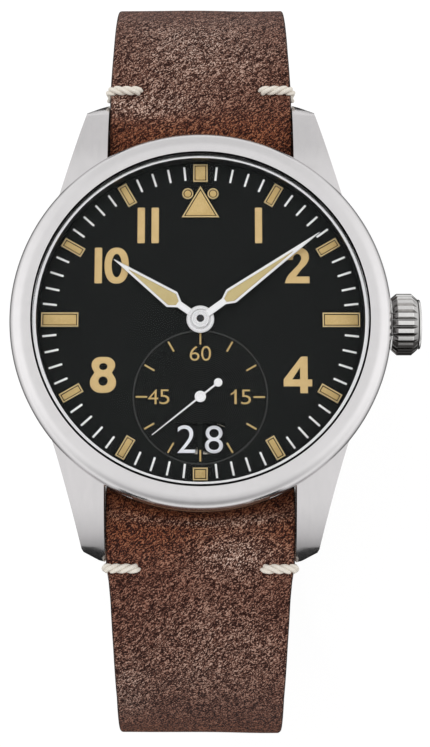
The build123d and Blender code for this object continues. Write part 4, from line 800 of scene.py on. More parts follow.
def flutedCrown():
    # radius = outer radius less a trapezoid wave in the turn, held inside the conical ends
    s, paintedDark = crownShape, crownPaintedShade
    turn = np.linspace(0, 2 * np.pi, s["flutes"] * s["stepsPerFlute"], endpoint=False)
    wave = np.abs(((turn * s["flutes"] / (2 * np.pi)) % 1) - 0.5) * 2
    notch = s["depth"] * np.clip((wave - 0.5) / s["flank"], 0, 1)
    end = np.linspace(0, s["bevel"], 12)
    along = np.concatenate([[0], end[1:], np.linspace(s["bevel"] + 0.1, s["length"] - s["bevel"] - 0.1, 5),
                            s["length"] - end[::-1]])
    limit = s["radius"] - s["slope"] * np.clip(s["bevel"] - np.minimum(along, s["length"] - along), 0, None)
    radius = np.minimum(s["radius"] - notch[None, :], limit[:, None])
    high = s["length"] + s["capHeight"]
    step = np.array([[s["neck"], s["length"]], [s["neck"], s["length"] + 0.1], [s["cap"] - 0.04, s["length"] + 0.1],
                     [s["cap"], s["length"] + 0.14], [s["cap"], high - 0.1], [s["cap"] - 0.04, high - 0.03],
                     [s["cap"] - 0.12, high], [1.4, high], [0, high]])
    cup = np.array([[0, s["cupDepth"]], [s["cup"], s["cupDepth"]], [s["cup"], 0]])
    rows = np.concatenate([np.repeat(cup[:, :1], len(turn), 1), radius, np.repeat(step[:, :1], len(turn), 1)])
    place = np.concatenate([cup[:, 1], along, step[:, 1]])
    x = s["start"] + np.repeat(place[:, None], len(turn), 1)
    points = np.stack([x, rows * np.cos(turn), s["axis"] + rows * np.sin(turn)], -1).reshape(-1, 3)
    # painted shade: darker in the grooves and more so towards the lower side, on both sloping ends, under the ridges
    # low down, and full in the step before the cap
    paintedShade = np.zeros(rows.shape)
    body = slice(len(cup), len(cup) + len(along))
    low = (1 - np.cos(turn))[None, :] / 2
    groove = np.clip((limit[:, None] - radius) / s["depth"], 0, 1) * (paintedDark["groove"] + paintedDark["grooveLow"] * low ** 2)
    leftEnd = np.clip((s["bevel"] - along) / paintedDark["fade"], 0, 1)[:, None] * paintedDark["left"]
    rightSlope = np.clip((s["bevel"] - s["length"] + along) / paintedDark["fade"], 0, 1)[:, None]
    rightEnd = rightSlope * (paintedDark["right"] + paintedDark["rightLow"] * low)
    ridge = (wave < paintedDark["ridge"])[None, :]
    under = np.clip((low - paintedDark["underFrom"]) / paintedDark["underReach"], 0, 1) * ridge * paintedDark["under"]
    paintedShade[body] = np.clip(np.maximum(groove, leftEnd + rightEnd) + under, 0, 1)
    paintedShade[body.stop:body.stop + 3] = 1
    return meshFrom("flutedCrown", points, gridFaces(len(rows), len(turn), False, True), {"paintedShade": paintedShade})


addPiece("flutedCrown", flutedCrown(), "crown_turner", crownSteel, ["crown"], 24)
print("crown ready")

dialShape = {"top": 6.6, "recess": 0.06, "centre": (0, -8.22), "radius": 7.02, "pitch": 0.2, "depth": 0.03,
             "windowHalf": 2.72, "windowTop": -10.93}


def grooveDisc():
    # height = a fine cosine in the radius; each ring opens where the date windows are
    s = dialShape
    rings = np.arange(0.62, s["radius"], s["pitch"] / 4)
    gap = s["centre"][1] - s["windowTop"]
    open1 = np.where(rings > gap, np.arccos(np.clip(gap / rings, -1, 1)), 0)
    open2 = np.arcsin(np.clip(s["windowHalf"] / rings, -1, 1))
    corner = math.hypot(gap, s["windowHalf"])
    opening = np.where(rings < corner, open1, open2)
    share = np.linspace(0, 1, 181)
    turn = -np.pi / 2 + opening[:, None] + share[None, :] * (2 * np.pi - 2 * opening[:, None])
    base = s["top"] - s["recess"]
    height = base + 0.002 + s["depth"] * (0.5 + 0.5 * np.cos(2 * np.pi * rings / s["pitch"]))
    x = s["centre"][0] + rings[:, None] * np.cos(turn)
    y = s["centre"][1] + rings[:, None] * np.sin(turn)
    top = np.stack([x, y, np.repeat(height[:, None], len(share), 1)], -1)
    ends = [0, len(rings) - 1]
    skirt = [np.stack([x[i], y[i], np.full(len(share), base - 0.01)], -1) for i in ends]
    points = np.concatenate([skirt[0][None], top, skirt[1][None]])
    return meshFrom("grooveDisc", points.reshape(-1, 3), gridFaces(len(points), len(share)))


addPiece("grooveDisc", grooveDisc(), "case", grooveBlack, sharpAngle=80)

rimShape = {"inner": 7.0, "outer": 7.13, "low": 6.543, "high": 6.603}


def subdialRim():
    # a narrow sloping edge round the sunk seconds dial
    s = rimShape
    profile = [(s["inner"], s["low"]), (s["outer"] - 0.03, s["high"]), (s["outer"], s["high"]),
               (s["outer"], s["low"])]
    return turned("subdialRim", profile, 240, centre=(*dialShape["centre"], 0))


addPiece("subdialRim", subdialRim(), "case", rimGrey, sharpAngle=60)
print("dial ready")

# blocks: inner end, outer end, width; triangle: apex, foot, half-width; dot: across, up, radius
markerShape = {"foot": 6.6, "frameTop": 6.9, "lumeTop": 6.84, "border": 0.14, "gap": 0.09, "frameBevel": 0.035,
               "fillBevel": 0.06, "baton": (14.5, 16.94, 1.05), "noon": (15.1, 17.06, 1.55),
               "six": (15.69, 17.03, 1.55), "side": (12.95, 16.92, 1.55), "triangle": (14.63, 11.16, 2.02),
               "dot": (1.36, 13.79, 0.6)}


def boxLoop(inner, outer, width, inset):
    # a block standing on the 12 o'clock line, drawn in by the inset on every side
    half = width / 2 - inset
    return [(-half, inner + inset), (half, inner + inset), (half, outer - inset), (-half, outer - inset)]


def triangleLoop(apex, foot, half, inset):
    # an upright triangle, drawn in by the inset on every side
    slope = math.hypot(apex - foot, half)
    top, low = apex - inset * slope / half, foot + inset
    wide = (top - low) * half / (apex - foot)
    return [(0, top), (-wide, low), (wide, low)]


def frameSolid(loops):
    s = markerShape
    return flatSolid("frame", loops, s["foot"], s["frameTop"], s["frameBevel"])


def fillSolid(loop):
    s = markerShape
    return flatSolid("fill", [loop], s["foot"], s["lumeTop"], s["fillBevel"], 3)


def hourBlocks():
    # frames and fills of the raised hour blocks, each turned to its hour
    s = markerShape
    table = [(30 * hour, s["baton"]) for hour in (1, 2, 4, 5, 7, 8, 10, 11)]
    table += [(0, s["noon"]), (180, s["six"]), (90, s["side"]), (270, s["side"])]
    frames, fills = [], []
    for degrees, (inner, outer, width) in table:
        loops = [boxLoop(inner, outer, width, 0), boxLoop(inner, outer, width, s["border"])]
        frames.append(placed(frameSolid(loops), degrees=-degrees))
        fill = roundedCorners(boxLoop(inner, outer, width, s["border"] + s["gap"]), 0.08, 4)
        fills.append(placed(fillSolid(fill), degrees=-degrees))
    frames.append(frameSolid([triangleLoop(*s["triangle"], 0), triangleLoop(*s["triangle"], s["border"])]))
    fills.append(fillSolid(triangleLoop(*s["triangle"], s["border"] + s["gap"])))
    x, y, radius = s["dot"]
    for side in (1, -1):
        ring = arcPoints((side * x, y), radius, 0, 354, 60)
        inner = arcPoints((side * x, y), radius - s["border"], 0, 354, 60)
        frames.append(frameSolid([ring, inner]))
        fills.append(fillSolid(arcPoints((side * x, y), radius - s["border"] - s["gap"], 0, 354, 60)))
    return joined("hourFrames", frames), joined("hourFills", fills)


hourFrames, hourFills = hourBlocks()
addPiece("hourFrames", hourFrames, "case", gilt, ["hour_markers"])
addPiece("hourFills", hourFills, "case", lume, ["marker_lume"])


def figureCurve(name, text, weight):
    # plain figures as a flat curve, made heavier or lighter by the weight
    curve = bpy.data.curves.new(name, "FONT")
    curve.body = text
    curve.size = 10
    curve.fill_mode = "BOTH"
    curve.resolution_u = 6
    curve.offset = weight
    return curve


def lettering(name, text, box, bottom, top, bevel, weight=0.0):
    # figures fitted into a box (left, right, low, high), raised between two heights
    draft = settled(name + "Flat", figureCurve(name, text, weight), 0)
    spots = np.zeros(len(draft.vertices) * 3)
    draft.vertices.foreach_get("co", spots)
    spots = spots.reshape(-1, 3) / mm
    low, high = spots.min(0), spots.max(0)
    bpy.data.meshes.remove(draft)
    scaleX, scaleY = (box[1] - box[0]) / (high[0] - low[0]), (box[3] - box[2]) / (high[1] - low[1])
    even = math.sqrt(scaleX * scaleY)
    curve = figureCurve(name, text, weight - bevel / even)
    curve.bevel_depth = bevel / even
    curve.bevel_resolution = 1
    curve.extrude = (top - bottom) / 2 - bevel
    mesh = settled(name, curve, 0)
    flat = np.zeros(len(mesh.vertices) * 3)
    mesh.vertices.foreach_get("co", flat)
    flat = flat.reshape(-1, 3) / mm
    flat[:, 0] = box[0] + (flat[:, 0] - low[0]) * scaleX
    flat[:, 1] = box[2] + (flat[:, 1] - low[1]) * scaleY
    reach = np.abs(flat[:, 2]).max()
    flat[:, 2] = (bottom + top) / 2 + flat[:, 2] * (top - bottom) / 2 / reach
    mesh.vertices.foreach_set("co", (flat * mm).ravel())
    cleanMesh(mesh, 5e-7)
    return mesh


numeralShape = {
    "top": 6.72, "bevel": 0.04, "round": 0.1,
    "bars": ((-6.75, -5.95, 8.35, 12.27), (-5.25, -4.45, 8.35, 12.27), (5.84, 6.61, 8.35, 12.27),
             (-11.3, -10.5, 3.96, 7.86)),
    "figures": (("2", (8.98, 11.62, 3.98, 7.86)), ("8", (-11.65, -8.89, -7.83, -3.98)),
                ("4", (8.77, 11.78, -7.83, -3.92))),
    "oval": (-8.94, 5.9, 1.3, 1.97, 0.53, 1.27)}

# outlines in a unit box: across, up, and 1 where the line runs on smoothly
boldFigures = {
    "2": [[(0, 0, 0), (1, 0, 0), (1, 0.19, 0), (0.46, 0.19, 0), (0.67, 0.38, 1), (0.91, 0.57, 1), (0.985, 0.74, 1),
           (0.87, 0.93, 1), (0.55, 1, 1), (0.23, 0.94, 1), (0.06, 0.79, 1), (0.04, 0.655, 0), (0.33, 0.655, 0),
           (0.38, 0.77, 1), (0.53, 0.825, 1), (0.67, 0.73, 1), (0.6, 0.58, 1), (0.35, 0.38, 1), (0.12, 0.2, 1)]],
    "8": [[(0.51, 1, 1), (0.83, 0.945, 1), (0.962, 0.78, 1), (0.84, 0.56, 0), (1, 0.31, 1), (0.87, 0.08, 1),
           (0.5, 0, 1), (0.13, 0.08, 1), (0, 0.31, 1), (0.165, 0.56, 0), (0.058, 0.78, 1), (0.18, 0.945, 1)],
          [(0.51, 0.825, 1), (0.665, 0.73, 1), (0.51, 0.635, 1), (0.35, 0.73, 1)],
          [(0.5, 0.455, 1), (0.68, 0.33, 1), (0.5, 0.2, 1), (0.325, 0.33, 1)]],
    "4": [[(0, 0.377, 0), (0.614, 1, 0), (0.846, 1, 0), (0.846, 0.377, 0), (1, 0.377, 0), (1, 0.185, 0),
           (0.846, 0.185, 0), (0.846, 0, 0), (0.579, 0, 0), (0.579, 0.185, 0), (0, 0.185, 0)],
          [(0.3, 0.377, 0), (0.579, 0.377, 0), (0.579, 0.7, 0)]],
    "1": [[(0.62, 0, 0), (1, 0, 0), (1, 1, 0), (0.7, 1, 0), (0.5, 0.85, 1), (0, 0.73, 0), (0, 0.6, 0),
           (0.62, 0.76, 0)]],
}


def drawnFigure(name, loops, box, bottom, top, bevel):
    # smooth and cornered outlines fitted into a box, raised between two heights
    curve = bpy.data.curves.new(name, "CURVE")
    curve.dimensions = "2D"
    curve.fill_mode = "BOTH"
    curve.resolution_u = 8
    left, right, low, high = box
    for loop in loops:
        spline = curve.splines.new("BEZIER")
        spline.bezier_points.add(len(loop) - 1)
        spline.use_cyclic_u = True
        for knot, (across, up, smooth) in zip(spline.bezier_points, loop):
            knot.co = (left + across * (right - left), low + up * (high - low), 0)
            knot.handle_left_type = knot.handle_right_type = "AUTO" if smooth else "VECTOR"
    curve.offset = -bevel
    curve.bevel_depth = bevel
    curve.bevel_resolution = 2
    curve.extrude = (top - bottom) / 2 - bevel
    return settled(name, curve, (top + bottom) / 2)


def ovalLoop(centreX, centreY, across, up, power=2.3, count=72):
    # a superellipse: |x/a|^p + |y/b|^p = 1
    turn = np.linspace(0, 2 * np.pi, count, endpoint=False)
    c, s = np.cos(turn), np.sin(turn)
    return np.stack([centreX + across * np.sign(c) * np.abs(c) ** (2 / power),
                     centreY + up * np.sign(s) * np.abs(s) ** (2 / power)], 1)


def hourNumerals():
    # plain bars for the ones, drawn figures, and a ring of two ovals for the nought
    s = numeralShape
    parts = []
    for left, right, low, high in s["bars"]:
        outline = roundedCorners([(left, low), (right, low), (right, high), (left, high)], s["round"], 4)
        parts.append(flatSolid("bar", [outline], dialShape["top"], s["top"], s["bevel"]))
    for figure, box in s["figures"]:
        parts.append(drawnFigure("figure", boldFigures[figure], box, dialShape["top"], s["top"], s["bevel"]))
    x, y, across, up, innerAcross, innerUp = s["oval"]
    loops = [ovalLoop(x, y, across, up), ovalLoop(x, y, innerAcross, innerUp, 2.1)]
    parts.append(flatSolid("oval", loops, dialShape["top"], s["top"], s["bevel"]))
    return joined("hourNumerals", parts)


addPiece("hourNumerals", hourNumerals(), "case", numeralPaint, ["numerals"])

trackShape = {"outer": 16.86, "inner": 15.36, "width": 0.225, "top": 6.63}


def minuteTicks():
    # a tick at every minute that has no hour block
    s = trackShape
    ticks = []
    for minute in range(60):
        if minute % 5:
            loop = roundedCorners(boxLoop(s["inner"], s["outer"], s["width"], 0), 0.03, 3)
            ticks.append(placed(flatSolid("tick", [loop], dialShape["top"], s["top"], 0.01, 1),
                                degrees=-6 * minute))
    return joined("minuteTicks", ticks)


addPiece("minuteTicks", minuteTicks(), "case", whitePrint, ["minute_track"])

secondsScale = {"outer": 6.8, "inner": 5.6, "width": 0.18, "top": 6.575,
                "figures": (("6", (-1.12, -0.1, -4.36, -2.79)), ("0", (0.09, 1.12, -4.36, -2.79)),
                            ("4", (-5.51, -4.43, -8.99, -7.43)), ("5", (-4.3, -3.26, -8.99, -7.43)),
                            ("5", (4.28, 5.32, -8.99, -7.43))),
                "flag": (3.2, 3.82, -8.97, -7.43)}


def secondsMarks():
    # twelve ticks and the plain numbers of the small seconds dial
    s = secondsScale
    floorHeight = dialShape["top"] - dialShape["recess"]
    parts = []
    for hour in range(12):
        tick = flatSolid("tick", [boxLoop(s["inner"], s["outer"], s["width"], 0)], floorHeight, s["top"], 0.008, 1)
        parts.append(placed(tick, *dialShape["centre"], degrees=-30 * hour))
    for text, box in s["figures"]:
        parts.append(lettering("figure", text, box, floorHeight, s["top"], 0.008, -0.06))
    parts.append(drawnFigure("figure", boldFigures["1"], s["flag"], floorHeight, s["top"], 0.008))
    return joined("secondsMarks", parts)


addPiece("secondsMarks", secondsMarks(), "case", tanPrint, ["subdial_scale"])
print("markers and numerals ready")

dateShape = {"units": (3.6, -7.3), "tens": (-4.15, -12.5), "windowUnits": (1.43, -12.61),
             "windowTens": (-1.475, -12.61), "tall": 2.93, "wide": 1.9, "oneShare": 0.55, "unitsTop": 5.86,
             "tensTop": 6.12, "raise": 0.02}


def dateFigures(name, centre, window, figures, shown, top):
    # the shown figure stands upright in the window and the others follow round the disc
    s = dateShape
    parts = []
    step = 360 / len(figures)
    for index, text in enumerate(figures):
        if text == " ":
            continue
        wide = s["wide"] * (s["oneShare"] if text == "1" else 1)
        box = (-wide / 2, wide / 2, -s["tall"] / 2, s["tall"] / 2)
        mesh = lettering("figure", text, box, top, top + s["raise"], 0.004, -0.05)
        mesh.transform(Matrix.Translation(((window[0] - centre[0]) * mm, (window[1] - centre[1]) * mm, 0)))
        mesh.transform(Matrix.Rotation(math.radians(step * (index - figures.index(shown))), 4, "Z"))
        mesh.transform(Matrix.Translation((centre[0] * mm, centre[1] * mm, 0)))
        parts.append(mesh)
    return joined(name, parts)


addPiece("dateUnitFigures", dateFigures("dateUnitFigures", dateShape["units"], dateShape["windowUnits"],
         "0123456789", "8", dateShape["unitsTop"]), "date_units", dateWhite)
addPiece("dateTensFigures", dateFigures("dateTensFigures", dateShape["tens"], dateShape["windowTens"],
         " 123", "2", dateShape["tensTop"]), "date_tens", dateWhite)

dateShadeShape = {"centre": (3.6, -7.3), "radius": 4.05, "from": -128.0, "to": -72.0, "bottom": 5.855,
                  "top": 5.875}


def dateShade():
    # black sector on the plate's seat inside the units ring, as painted shade in the corner of the date window
    s = dateShadeShape
    sector = arcPoints(s["centre"], s["radius"], s["from"], s["to"], 24)
    return flatSolid("dateShade", [sector], s["bottom"], s["top"], 0.004)


addPiece("dateShade", dateShade(), "case", dateBlack)
print("date ready")

handShape = {"thick": 0.15, "bevel": 0.06, "neck": 0.37, "neckReach": 0.95, "tip": 0.05, "inset": 0.27,
             "hour": {"bottom": 7.04, "length": 11.3, "angle": -54.9, "hub": 1.47, "hole": 0.53,
                      "rings": ((1.06, 1.4, 0.05), (0.55, 0.9, 0.03)),
                      "shoulderAt": 3.67, "shoulder": 0.99, "lume": (3.0, 9.3)},
             "minute": {"bottom": 7.42, "length": 15.8, "angle": 53.6, "hub": 0.98, "hole": 0.4,
                        "rings": ((0.4, 0.64, 0.09), (0.72, 0.94, 0.04)),
                        "shoulderAt": 4.05, "shoulder": 0.88, "lume": (3.3, 12.2)}}


def handOutline(spec):
    # hub arc, neck, shoulder, long taper to the tip, and back
    length, at, half = spec["length"], spec["shoulderAt"], spec["shoulder"]
    neck, tip = handShape["neck"], handShape["tip"]
    neckAt = at - handShape["neckReach"]
    start = math.degrees(math.asin(neck / spec["hub"]))
    hub = arcPoints((0, 0), spec["hub"], start, 360 - start, 60)
    edge = [(neckAt, -neck), (at, -half), (length - tip, -tip), (length, 0), (length - tip, tip), (at, half),
            (neckAt, neck)]
    return np.concatenate([hub, edge])


def lumeOutline(spec, inset):
    # the opening inside the hand: widest at the shoulder, keeping the inset along the taper
    start, end = spec["lume"]
    half = spec["shoulder"] - inset
    slope = spec["shoulder"] / (spec["length"] - spec["shoulderAt"])
    tip = max((spec["length"] - end) * slope - inset, 0.02)
    points = [(start, 0.36 * half), (spec["shoulderAt"], half), (end, tip)]
    return points + [(x, -y) for x, y in points][::-1]


def buildHand(name, body, replacedBody, replacedLume):
    # a steel frame, its fill and the raised rings of its collet, turned to where the hand points
    spec, inset = handShape[name], handShape["inset"]
    bottom, top = spec["bottom"], spec["bottom"] + handShape["thick"]
    hole = arcPoints((0, 0), spec["hole"], 0, 354, 60)
    steel = flatSolid(name + "HandSteel", [handOutline(spec), hole, lumeOutline(spec, inset)], bottom, top,
                      handShape["bevel"], 2)
    fill = flatSolid(name + "HandFill", [lumeOutline(spec, inset + 0.01)], bottom + 0.02, top - 0.02, 0.03, 2)
    for mesh in (steel, fill):
        mesh.transform(Matrix.Rotation(math.radians(90 - spec["angle"]), 4, "Z"))
    addPiece(name + "HandSteel", steel, body, handSteel, [replacedBody], 25)
    addPiece(name + "HandFill", fill, body, handLume, [replacedLume])
    rings = []
    for inner, outer, rise in spec["rings"]:
        loops = [arcPoints((0, 0), outer, 0, 354, 60), arcPoints((0, 0), inner, 0, 354, 60)]
        rings.append(flatSolid("ring", loops, top - 0.02, top + rise, 0.03, 2))
    addPiece(name + "Collet", joined(name + "Collet", rings), body, metals["brightSteel"])


buildHand("hour", "hour", "hour_hand", "hour_hand_lume")
buildHand("minute", "minute", "minute_hand", "minute_hand_lume")

pinShape = {"radius": 0.38, "low": 7.5, "high": 7.62, "dome": 0.05}


def centrePin():
    # blued end of the cannon, slightly domed
    s = pinShape
    across = np.linspace(1, 0, 8)
    dome = np.stack([s["radius"] * across, s["high"] + s["dome"] * (1 - across ** 2)], 1)
    return turned("centrePin", np.concatenate([[(0, s["low"]), (s["radius"], s["low"])], dome]), 48, closed=False)


addPiece("centrePin", centrePin(), "minute", pinBlack)

secondsShape = {"bottom": 6.74, "length": 6.5, "angle": 231.3, "hub": 0.6, "half": 0.1, "tail": 2.4,
                "tailRadius": 0.45}


def secondsHand():
    # thin bar, ring hub and round counterweight
    s = secondsShape
    bottom, top = s["bottom"], s["bottom"] + handShape["thick"]
    hubStart = math.degrees(math.asin(s["half"] / s["hub"]))
    front = arcPoints((0, 0), s["hub"], 180 - hubStart, hubStart, 24)
    back = arcPoints((0, 0), s["hub"], -hubStart, -180 + hubStart, 24)
    tailStart = math.degrees(math.asin(s["half"] / s["tailRadius"]))
    tail = arcPoints((-s["tail"], 0), s["tailRadius"], -tailStart, -360 + tailStart, 30)
    tip = [(s["length"], s["half"] / 2), (s["length"], -s["half"] / 2)]
    outline = np.concatenate([front, tip, back, tail])
    hand = flatSolid("secondsHandSteel", [outline], bottom, top, 0.03, 2)
    ring = flatSolid("ring", [arcPoints((0, 0), s["hub"], 0, 350, 36), arcPoints((0, 0), 0.3, 0, 350, 36)],
                     top - 0.02, top + 0.06, 0.03, 2)
    mesh = joined("secondsHandSteel", [hand, ring])
    mesh.transform(Matrix.Rotation(math.radians(90 - s["angle"]), 4, "Z"))
    return placed(mesh, *dialShape["centre"])


addPiece("secondsHandSteel", secondsHand(), "seconds", handSteel, ["seconds_hand"], 25)
print("hands ready")

# widths: places along the strap and half-widths there; pale patches of painted sheen: across, along, their reaches,
# strength
strapShape = {"barY": 22.0, "barZ": 1.6, "dip": 6.0, "run": 5.6, "half": 1.4, "fold": 1.75, "corner": 0.3,
              "settle": 3.2, "wave": 0.03, "press": 0.04, "wall": 19.76,
              "upper": {"bend": 12.4, "curl": 15.0, "length": 75.0, "side": 1, "tacks": 4.5,
                        "widths": ((0, 4.5, 9.5, 16.4, 24, 40), (10.05, 10.02, 9.77, 9.56, 9.45, 9.1)),
                        "wearAndSheen": ((-6.5, 2.6, 6.5, 1.7, 1.2), (-1.0, 9.5, 10.0, 6.0, 1.15))},
              "lower": {"bend": 15.2, "curl": 34.0, "length": 115.0, "side": -1, "tacks": 3.7,
                        "widths": ((0, 3.4, 5.0, 6.9, 11.9, 18.1, 30), (10.05, 9.95, 9.68, 9.48, 9.2, 8.95, 8.88)),
                        "wearAndSheen": ((4.0, 2.0, 5.0, 2.4, 1.2), (0.0, -0.7, 14.0, 0.35, 1.0), (1.5, 12.0, 9.0, 6.0, 0.75),
                                 (-8.0, 17.0, 2.5, 4.0, 0.8))}}


def strapLine(spec, s):
    # place and heading of the strap's centre line at distances s: run, bend, curl, run
    shape = strapShape
    first = 90 - shape["dip"]
    pieces = [(shape["run"], 0, 0), (math.radians(first) * spec["bend"], first, spec["bend"]),
              (math.radians(90) * spec["curl"], 90, spec["curl"]), (1000.0, 0, 0)]
    out = np.zeros((len(s), 3))
    place, heading, along = np.array([shape["barY"], shape["barZ"]]), -shape["dip"], 0.0
    for index, (length, turn, radius) in enumerate(pieces):
        here = (s >= along) | (index == 0)
        local = s - along
        angle = math.radians(heading)
        if turn:
            centre = place + radius * np.array([math.sin(angle), -math.cos(angle)])
            way = angle - local / radius
            spot = centre + radius * np.stack([-np.sin(way), np.cos(way)], 1)
        else:
            way = np.full(len(s), angle)
            spot = place + local[:, None] * np.array([math.cos(angle), math.sin(angle)])
        out[here, :2] = spot[here]
        out[here, 2] = way[here]
        if turn:
            end = angle - length / radius
            place = centre + radius * np.array([-math.sin(end), math.cos(end)])
            heading -= turn
        else:
            place = place + length * np.array([math.cos(angle), math.sin(angle)])
        along += length
    return out


def sectionShape(columns=46, cornerSteps=7):
    # unit section: u from -1 to 1 across, v from -1 below to 1 above, and the rounding's share
    corner = np.linspace(0, np.pi / 2, cornerSteps)
    flat = np.linspace(-1, 1, columns)
    top = [(u, 1, 0, 0) for u in flat]
    right = [(1, 1, math.sin(a), 1 - math.cos(a)) for a in corner[1:]]
    rightLow = [(1, -1, math.cos(a), 1 - math.sin(a)) for a in corner[:-1]]
    low = [(u, -1, 0, 0) for u in flat[::-1]]
    left = [(-1, -1, math.sin(a), 1 - math.cos(a)) for a in corner[1:]]
    leftTop = [(-1, 1, math.cos(a), 1 - math.sin(a)) for a in corner[:-1]]
    return np.array(top + right + rightLow + low + left + leftTop)


def wrinkles(s, x, seed):
    # small standing waves across and along the strap, with phases from a fixed seed
    dice = np.random.default_rng(seed)
    total = np.zeros(np.broadcast(s, x).shape)
    for _ in range(14):
        waveS, waveX = dice.uniform(0.25, 2.4), dice.uniform(-0.7, 0.7)
        phase, size = dice.uniform(0, 2 * np.pi), dice.uniform(0.3, 1.0)
        total += size / (1 + waveS) * np.sin(waveS * s + waveX * x + phase)
    return total


def strapSkin(name, spec, start, stop, startRound, stopRound, widthAt, seed):
    # place = centre line at s + section's height along the line's normal, u across by the half-width there; before
    # the bar the section is drawn out towards the case until it follows the round case wall
    shape = strapShape
    nose = np.linspace(0, np.pi / 2, 9)
    first = start + startRound * (1 - np.cos(nose))
    last = stop - stopRound * (1 - np.cos(nose))[::-1]
    body = np.linspace(first[-1], last[0], int((last[0] - first[-1]) / 0.42))[1:-1]
    s = np.concatenate([first, body, last])
    line = strapLine(spec, s)
    section = sectionShape()
    u, v, cornerOut, cornerDrop = section.T
    fold = np.sqrt(np.clip(shape["fold"] ** 2 - s ** 2, 0, None))
    thinning = (shape["fold"] - shape["half"]) * np.exp(-(s / shape["settle"]) ** 2)
    half = np.where(s < 0, fold, shape["half"] + thinning)
    endGap = np.clip((stop - s) / stopRound, 0, 1)
    half = half * np.sqrt(np.clip(1 - (1 - endGap) ** 2, 0, 1))
    width = widthAt(s)
    corner = np.minimum(shape["corner"], half)
    x = u[None, :] * (width[:, None] - corner[:, None]) + np.sign(u)[None, :] * cornerOut[None, :] * corner[:, None]
    above = v[None, :] > 0
    wave = wrinkles(s[:, None], x, seed) * shape["wave"] * above
    noseReach = shape["barY"] - np.sqrt(shape["wall"] ** 2 - x ** 2)
    share = np.clip(-s / shape["fold"], 0, 1)[:, None]
    stretch = share * (noseReach - shape["fold"])
    keep = np.clip(half[:, None] / shape["half"], 0, 1) ** 2
    off = v[None, :] * (half[:, None] - cornerDrop[None, :] * corner[:, None])
    off = off + keep * above * (cornerDrop[None, :] < 0.01) * wave - keep * shape["press"] * above
    bendBack = (s < 0)[:, None]
    heading = np.where(bendBack, 0.0, line[:, 2:3])
    straight = np.where(bendBack, shape["barY"] + s[:, None], line[:, 0:1])
    o = straight - off * np.sin(heading) - stretch
    z = np.where(bendBack, shape["barZ"], line[:, 1:2]) + off * np.cos(heading)
    points = np.stack([x, spec["side"] * o, z], -1)
    # painted shade: a redder tone by the case and on the part that hangs away from the light, weaker under the
    # painted sheen
    nearCase = 0.95 * np.exp(-((s[:, None] + 1.0) / 3.4) ** 2)
    hanging = 0.9 * (1 - np.clip((line[:, 1:2] + 15) / 9, 0, 1))
    ruddyShade = np.broadcast_to(np.clip(nearCase + hanging, 0, 1), x.shape)
    rim = np.broadcast_to(np.clip((cornerOut - 0.35) / 0.4, 0, 1), x.shape) * (np.abs(u) > 0.999)
    back = np.broadcast_to((v < 0) * (cornerOut < 0.5) * 1.0, x.shape)
    # painted sheen: pale patches where light glances off the strap, and on the lower strap a thin streak of painted
    # highlight on the fold
    wearAndSheen = sum(size * np.exp(-((x - acrossAt) / acrossReach) ** 2 - ((s[:, None] - at) / reach) ** 2)
               for acrossAt, at, acrossReach, reach, size in spec["wearAndSheen"])
    attributes = {"edge": rim, "lining": back, "ruddyShade": ruddyShade * (1 - 0.7 * np.clip(wearAndSheen, 0, 1)), "wearAndSheen": wearAndSheen}
    return meshFrom(name, points.reshape(-1, 3), gridFaces(len(s), len(section), False, True), attributes)


def taperWidth(spec):
    # a function that gives the half-width at distances along the strap
    def widthAt(s):
        return np.interp(s, *spec["widths"])
    return widthAt


cutShape = {"slotHalf": 1.4, "slotReach": 3.6, "slotBack": 4.0, "deep": 4, "barRadius": 0.75, "barHalf": 12,
            "holes": 7, "firstHole": 25, "holePitch": 6.5, "holeRadius": 0.9}


def slotCutter(y, z):
    # stadium prism for the tongue, with its round end away from the bar
    s = cutShape
    half, back = s["slotHalf"], s["slotBack"]
    outline = np.concatenate([[(-half, -back), (half, -back)], arcPoints((0, s["slotReach"]), half, 0, 180, 17)])
    return flatSolid("slot", [outline + np.array([0, y])], z - s["deep"], z + s["deep"], 0.0001, 0)


def rodCutter(axis, radius, half, centre=(0, 0, 0)):
    # a plain cylinder about its centre
    return turned("rod", [(0, -half), (radius, -half), (radius, half), (0, half)], 32, axis, centre, False)


def upperStrap():
    # the buckle half, cut out for the buckle's bar and tongue
    spec, cut = strapShape["upper"], cutShape
    mesh = strapSkin("upperStrapLeather", spec, -strapShape["fold"], spec["length"] + strapShape["half"],
                     strapShape["fold"], strapShape["half"], taperWidth(spec), 3)
    end = strapLine(spec, np.array([spec["length"]]))[0]
    bar = rodCutter("X", cut["barRadius"], cut["barHalf"], (0, end[0], end[1]))
    return carve(mesh, [slotCutter(end[0], end[1]), bar])


tipShape = {"length": 9, "blunt": 0.6, "widths": (8.88, 3.6, 3.0)}


def lowerStrap():
    # the long half with its pointed tip and its row of holes
    spec, cut, point = strapShape["lower"], cutShape, tipShape
    taper = taperWidth(spec)
    total = spec["length"]

    def widthAt(s):
        tip = np.interp(s, [total - point["length"], total - point["blunt"], total], point["widths"])
        return np.where(s > total - point["length"], tip, taper(s))
    mesh = strapSkin("lowerStrapLeather", spec, -strapShape["fold"], total, strapShape["fold"], point["blunt"],
                     widthAt, 8)
    cutters = []
    for hole in range(cut["holes"]):
        at = strapLine(spec, np.array([total - cut["firstHole"] - cut["holePitch"] * hole]))[0]
        rod = rodCutter("Z", cut["holeRadius"], cut["deep"])
        rod.transform(Matrix.Rotation(-at[2], 4, "X"))
        rod.transform(Matrix.Translation((0, -at[0] * mm, at[1] * mm)))
        cutters.append(rod)
    return carve(mesh, cutters)


addPiece("upperStrapLeather", upperStrap(), "strap_upper_half", leather, ["strap_upper"], 50)
addPiece("lowerStrapLeather", lowerStrap(), "strap_lower_half", leather, ["strap_lower"], 50)
print("strap ready")

tackShape = {"reach": 3.15, "corner": 0.6, "above": 0.22, "beside": -0.08, "ply": 0.27, "plies": 3,
             "coil": 0.28, "turns": 2.9, "squash": 0.85, "swell": 1.05, "ringSteps": 10, "dive": 0.6,
             "clear": 0.05}


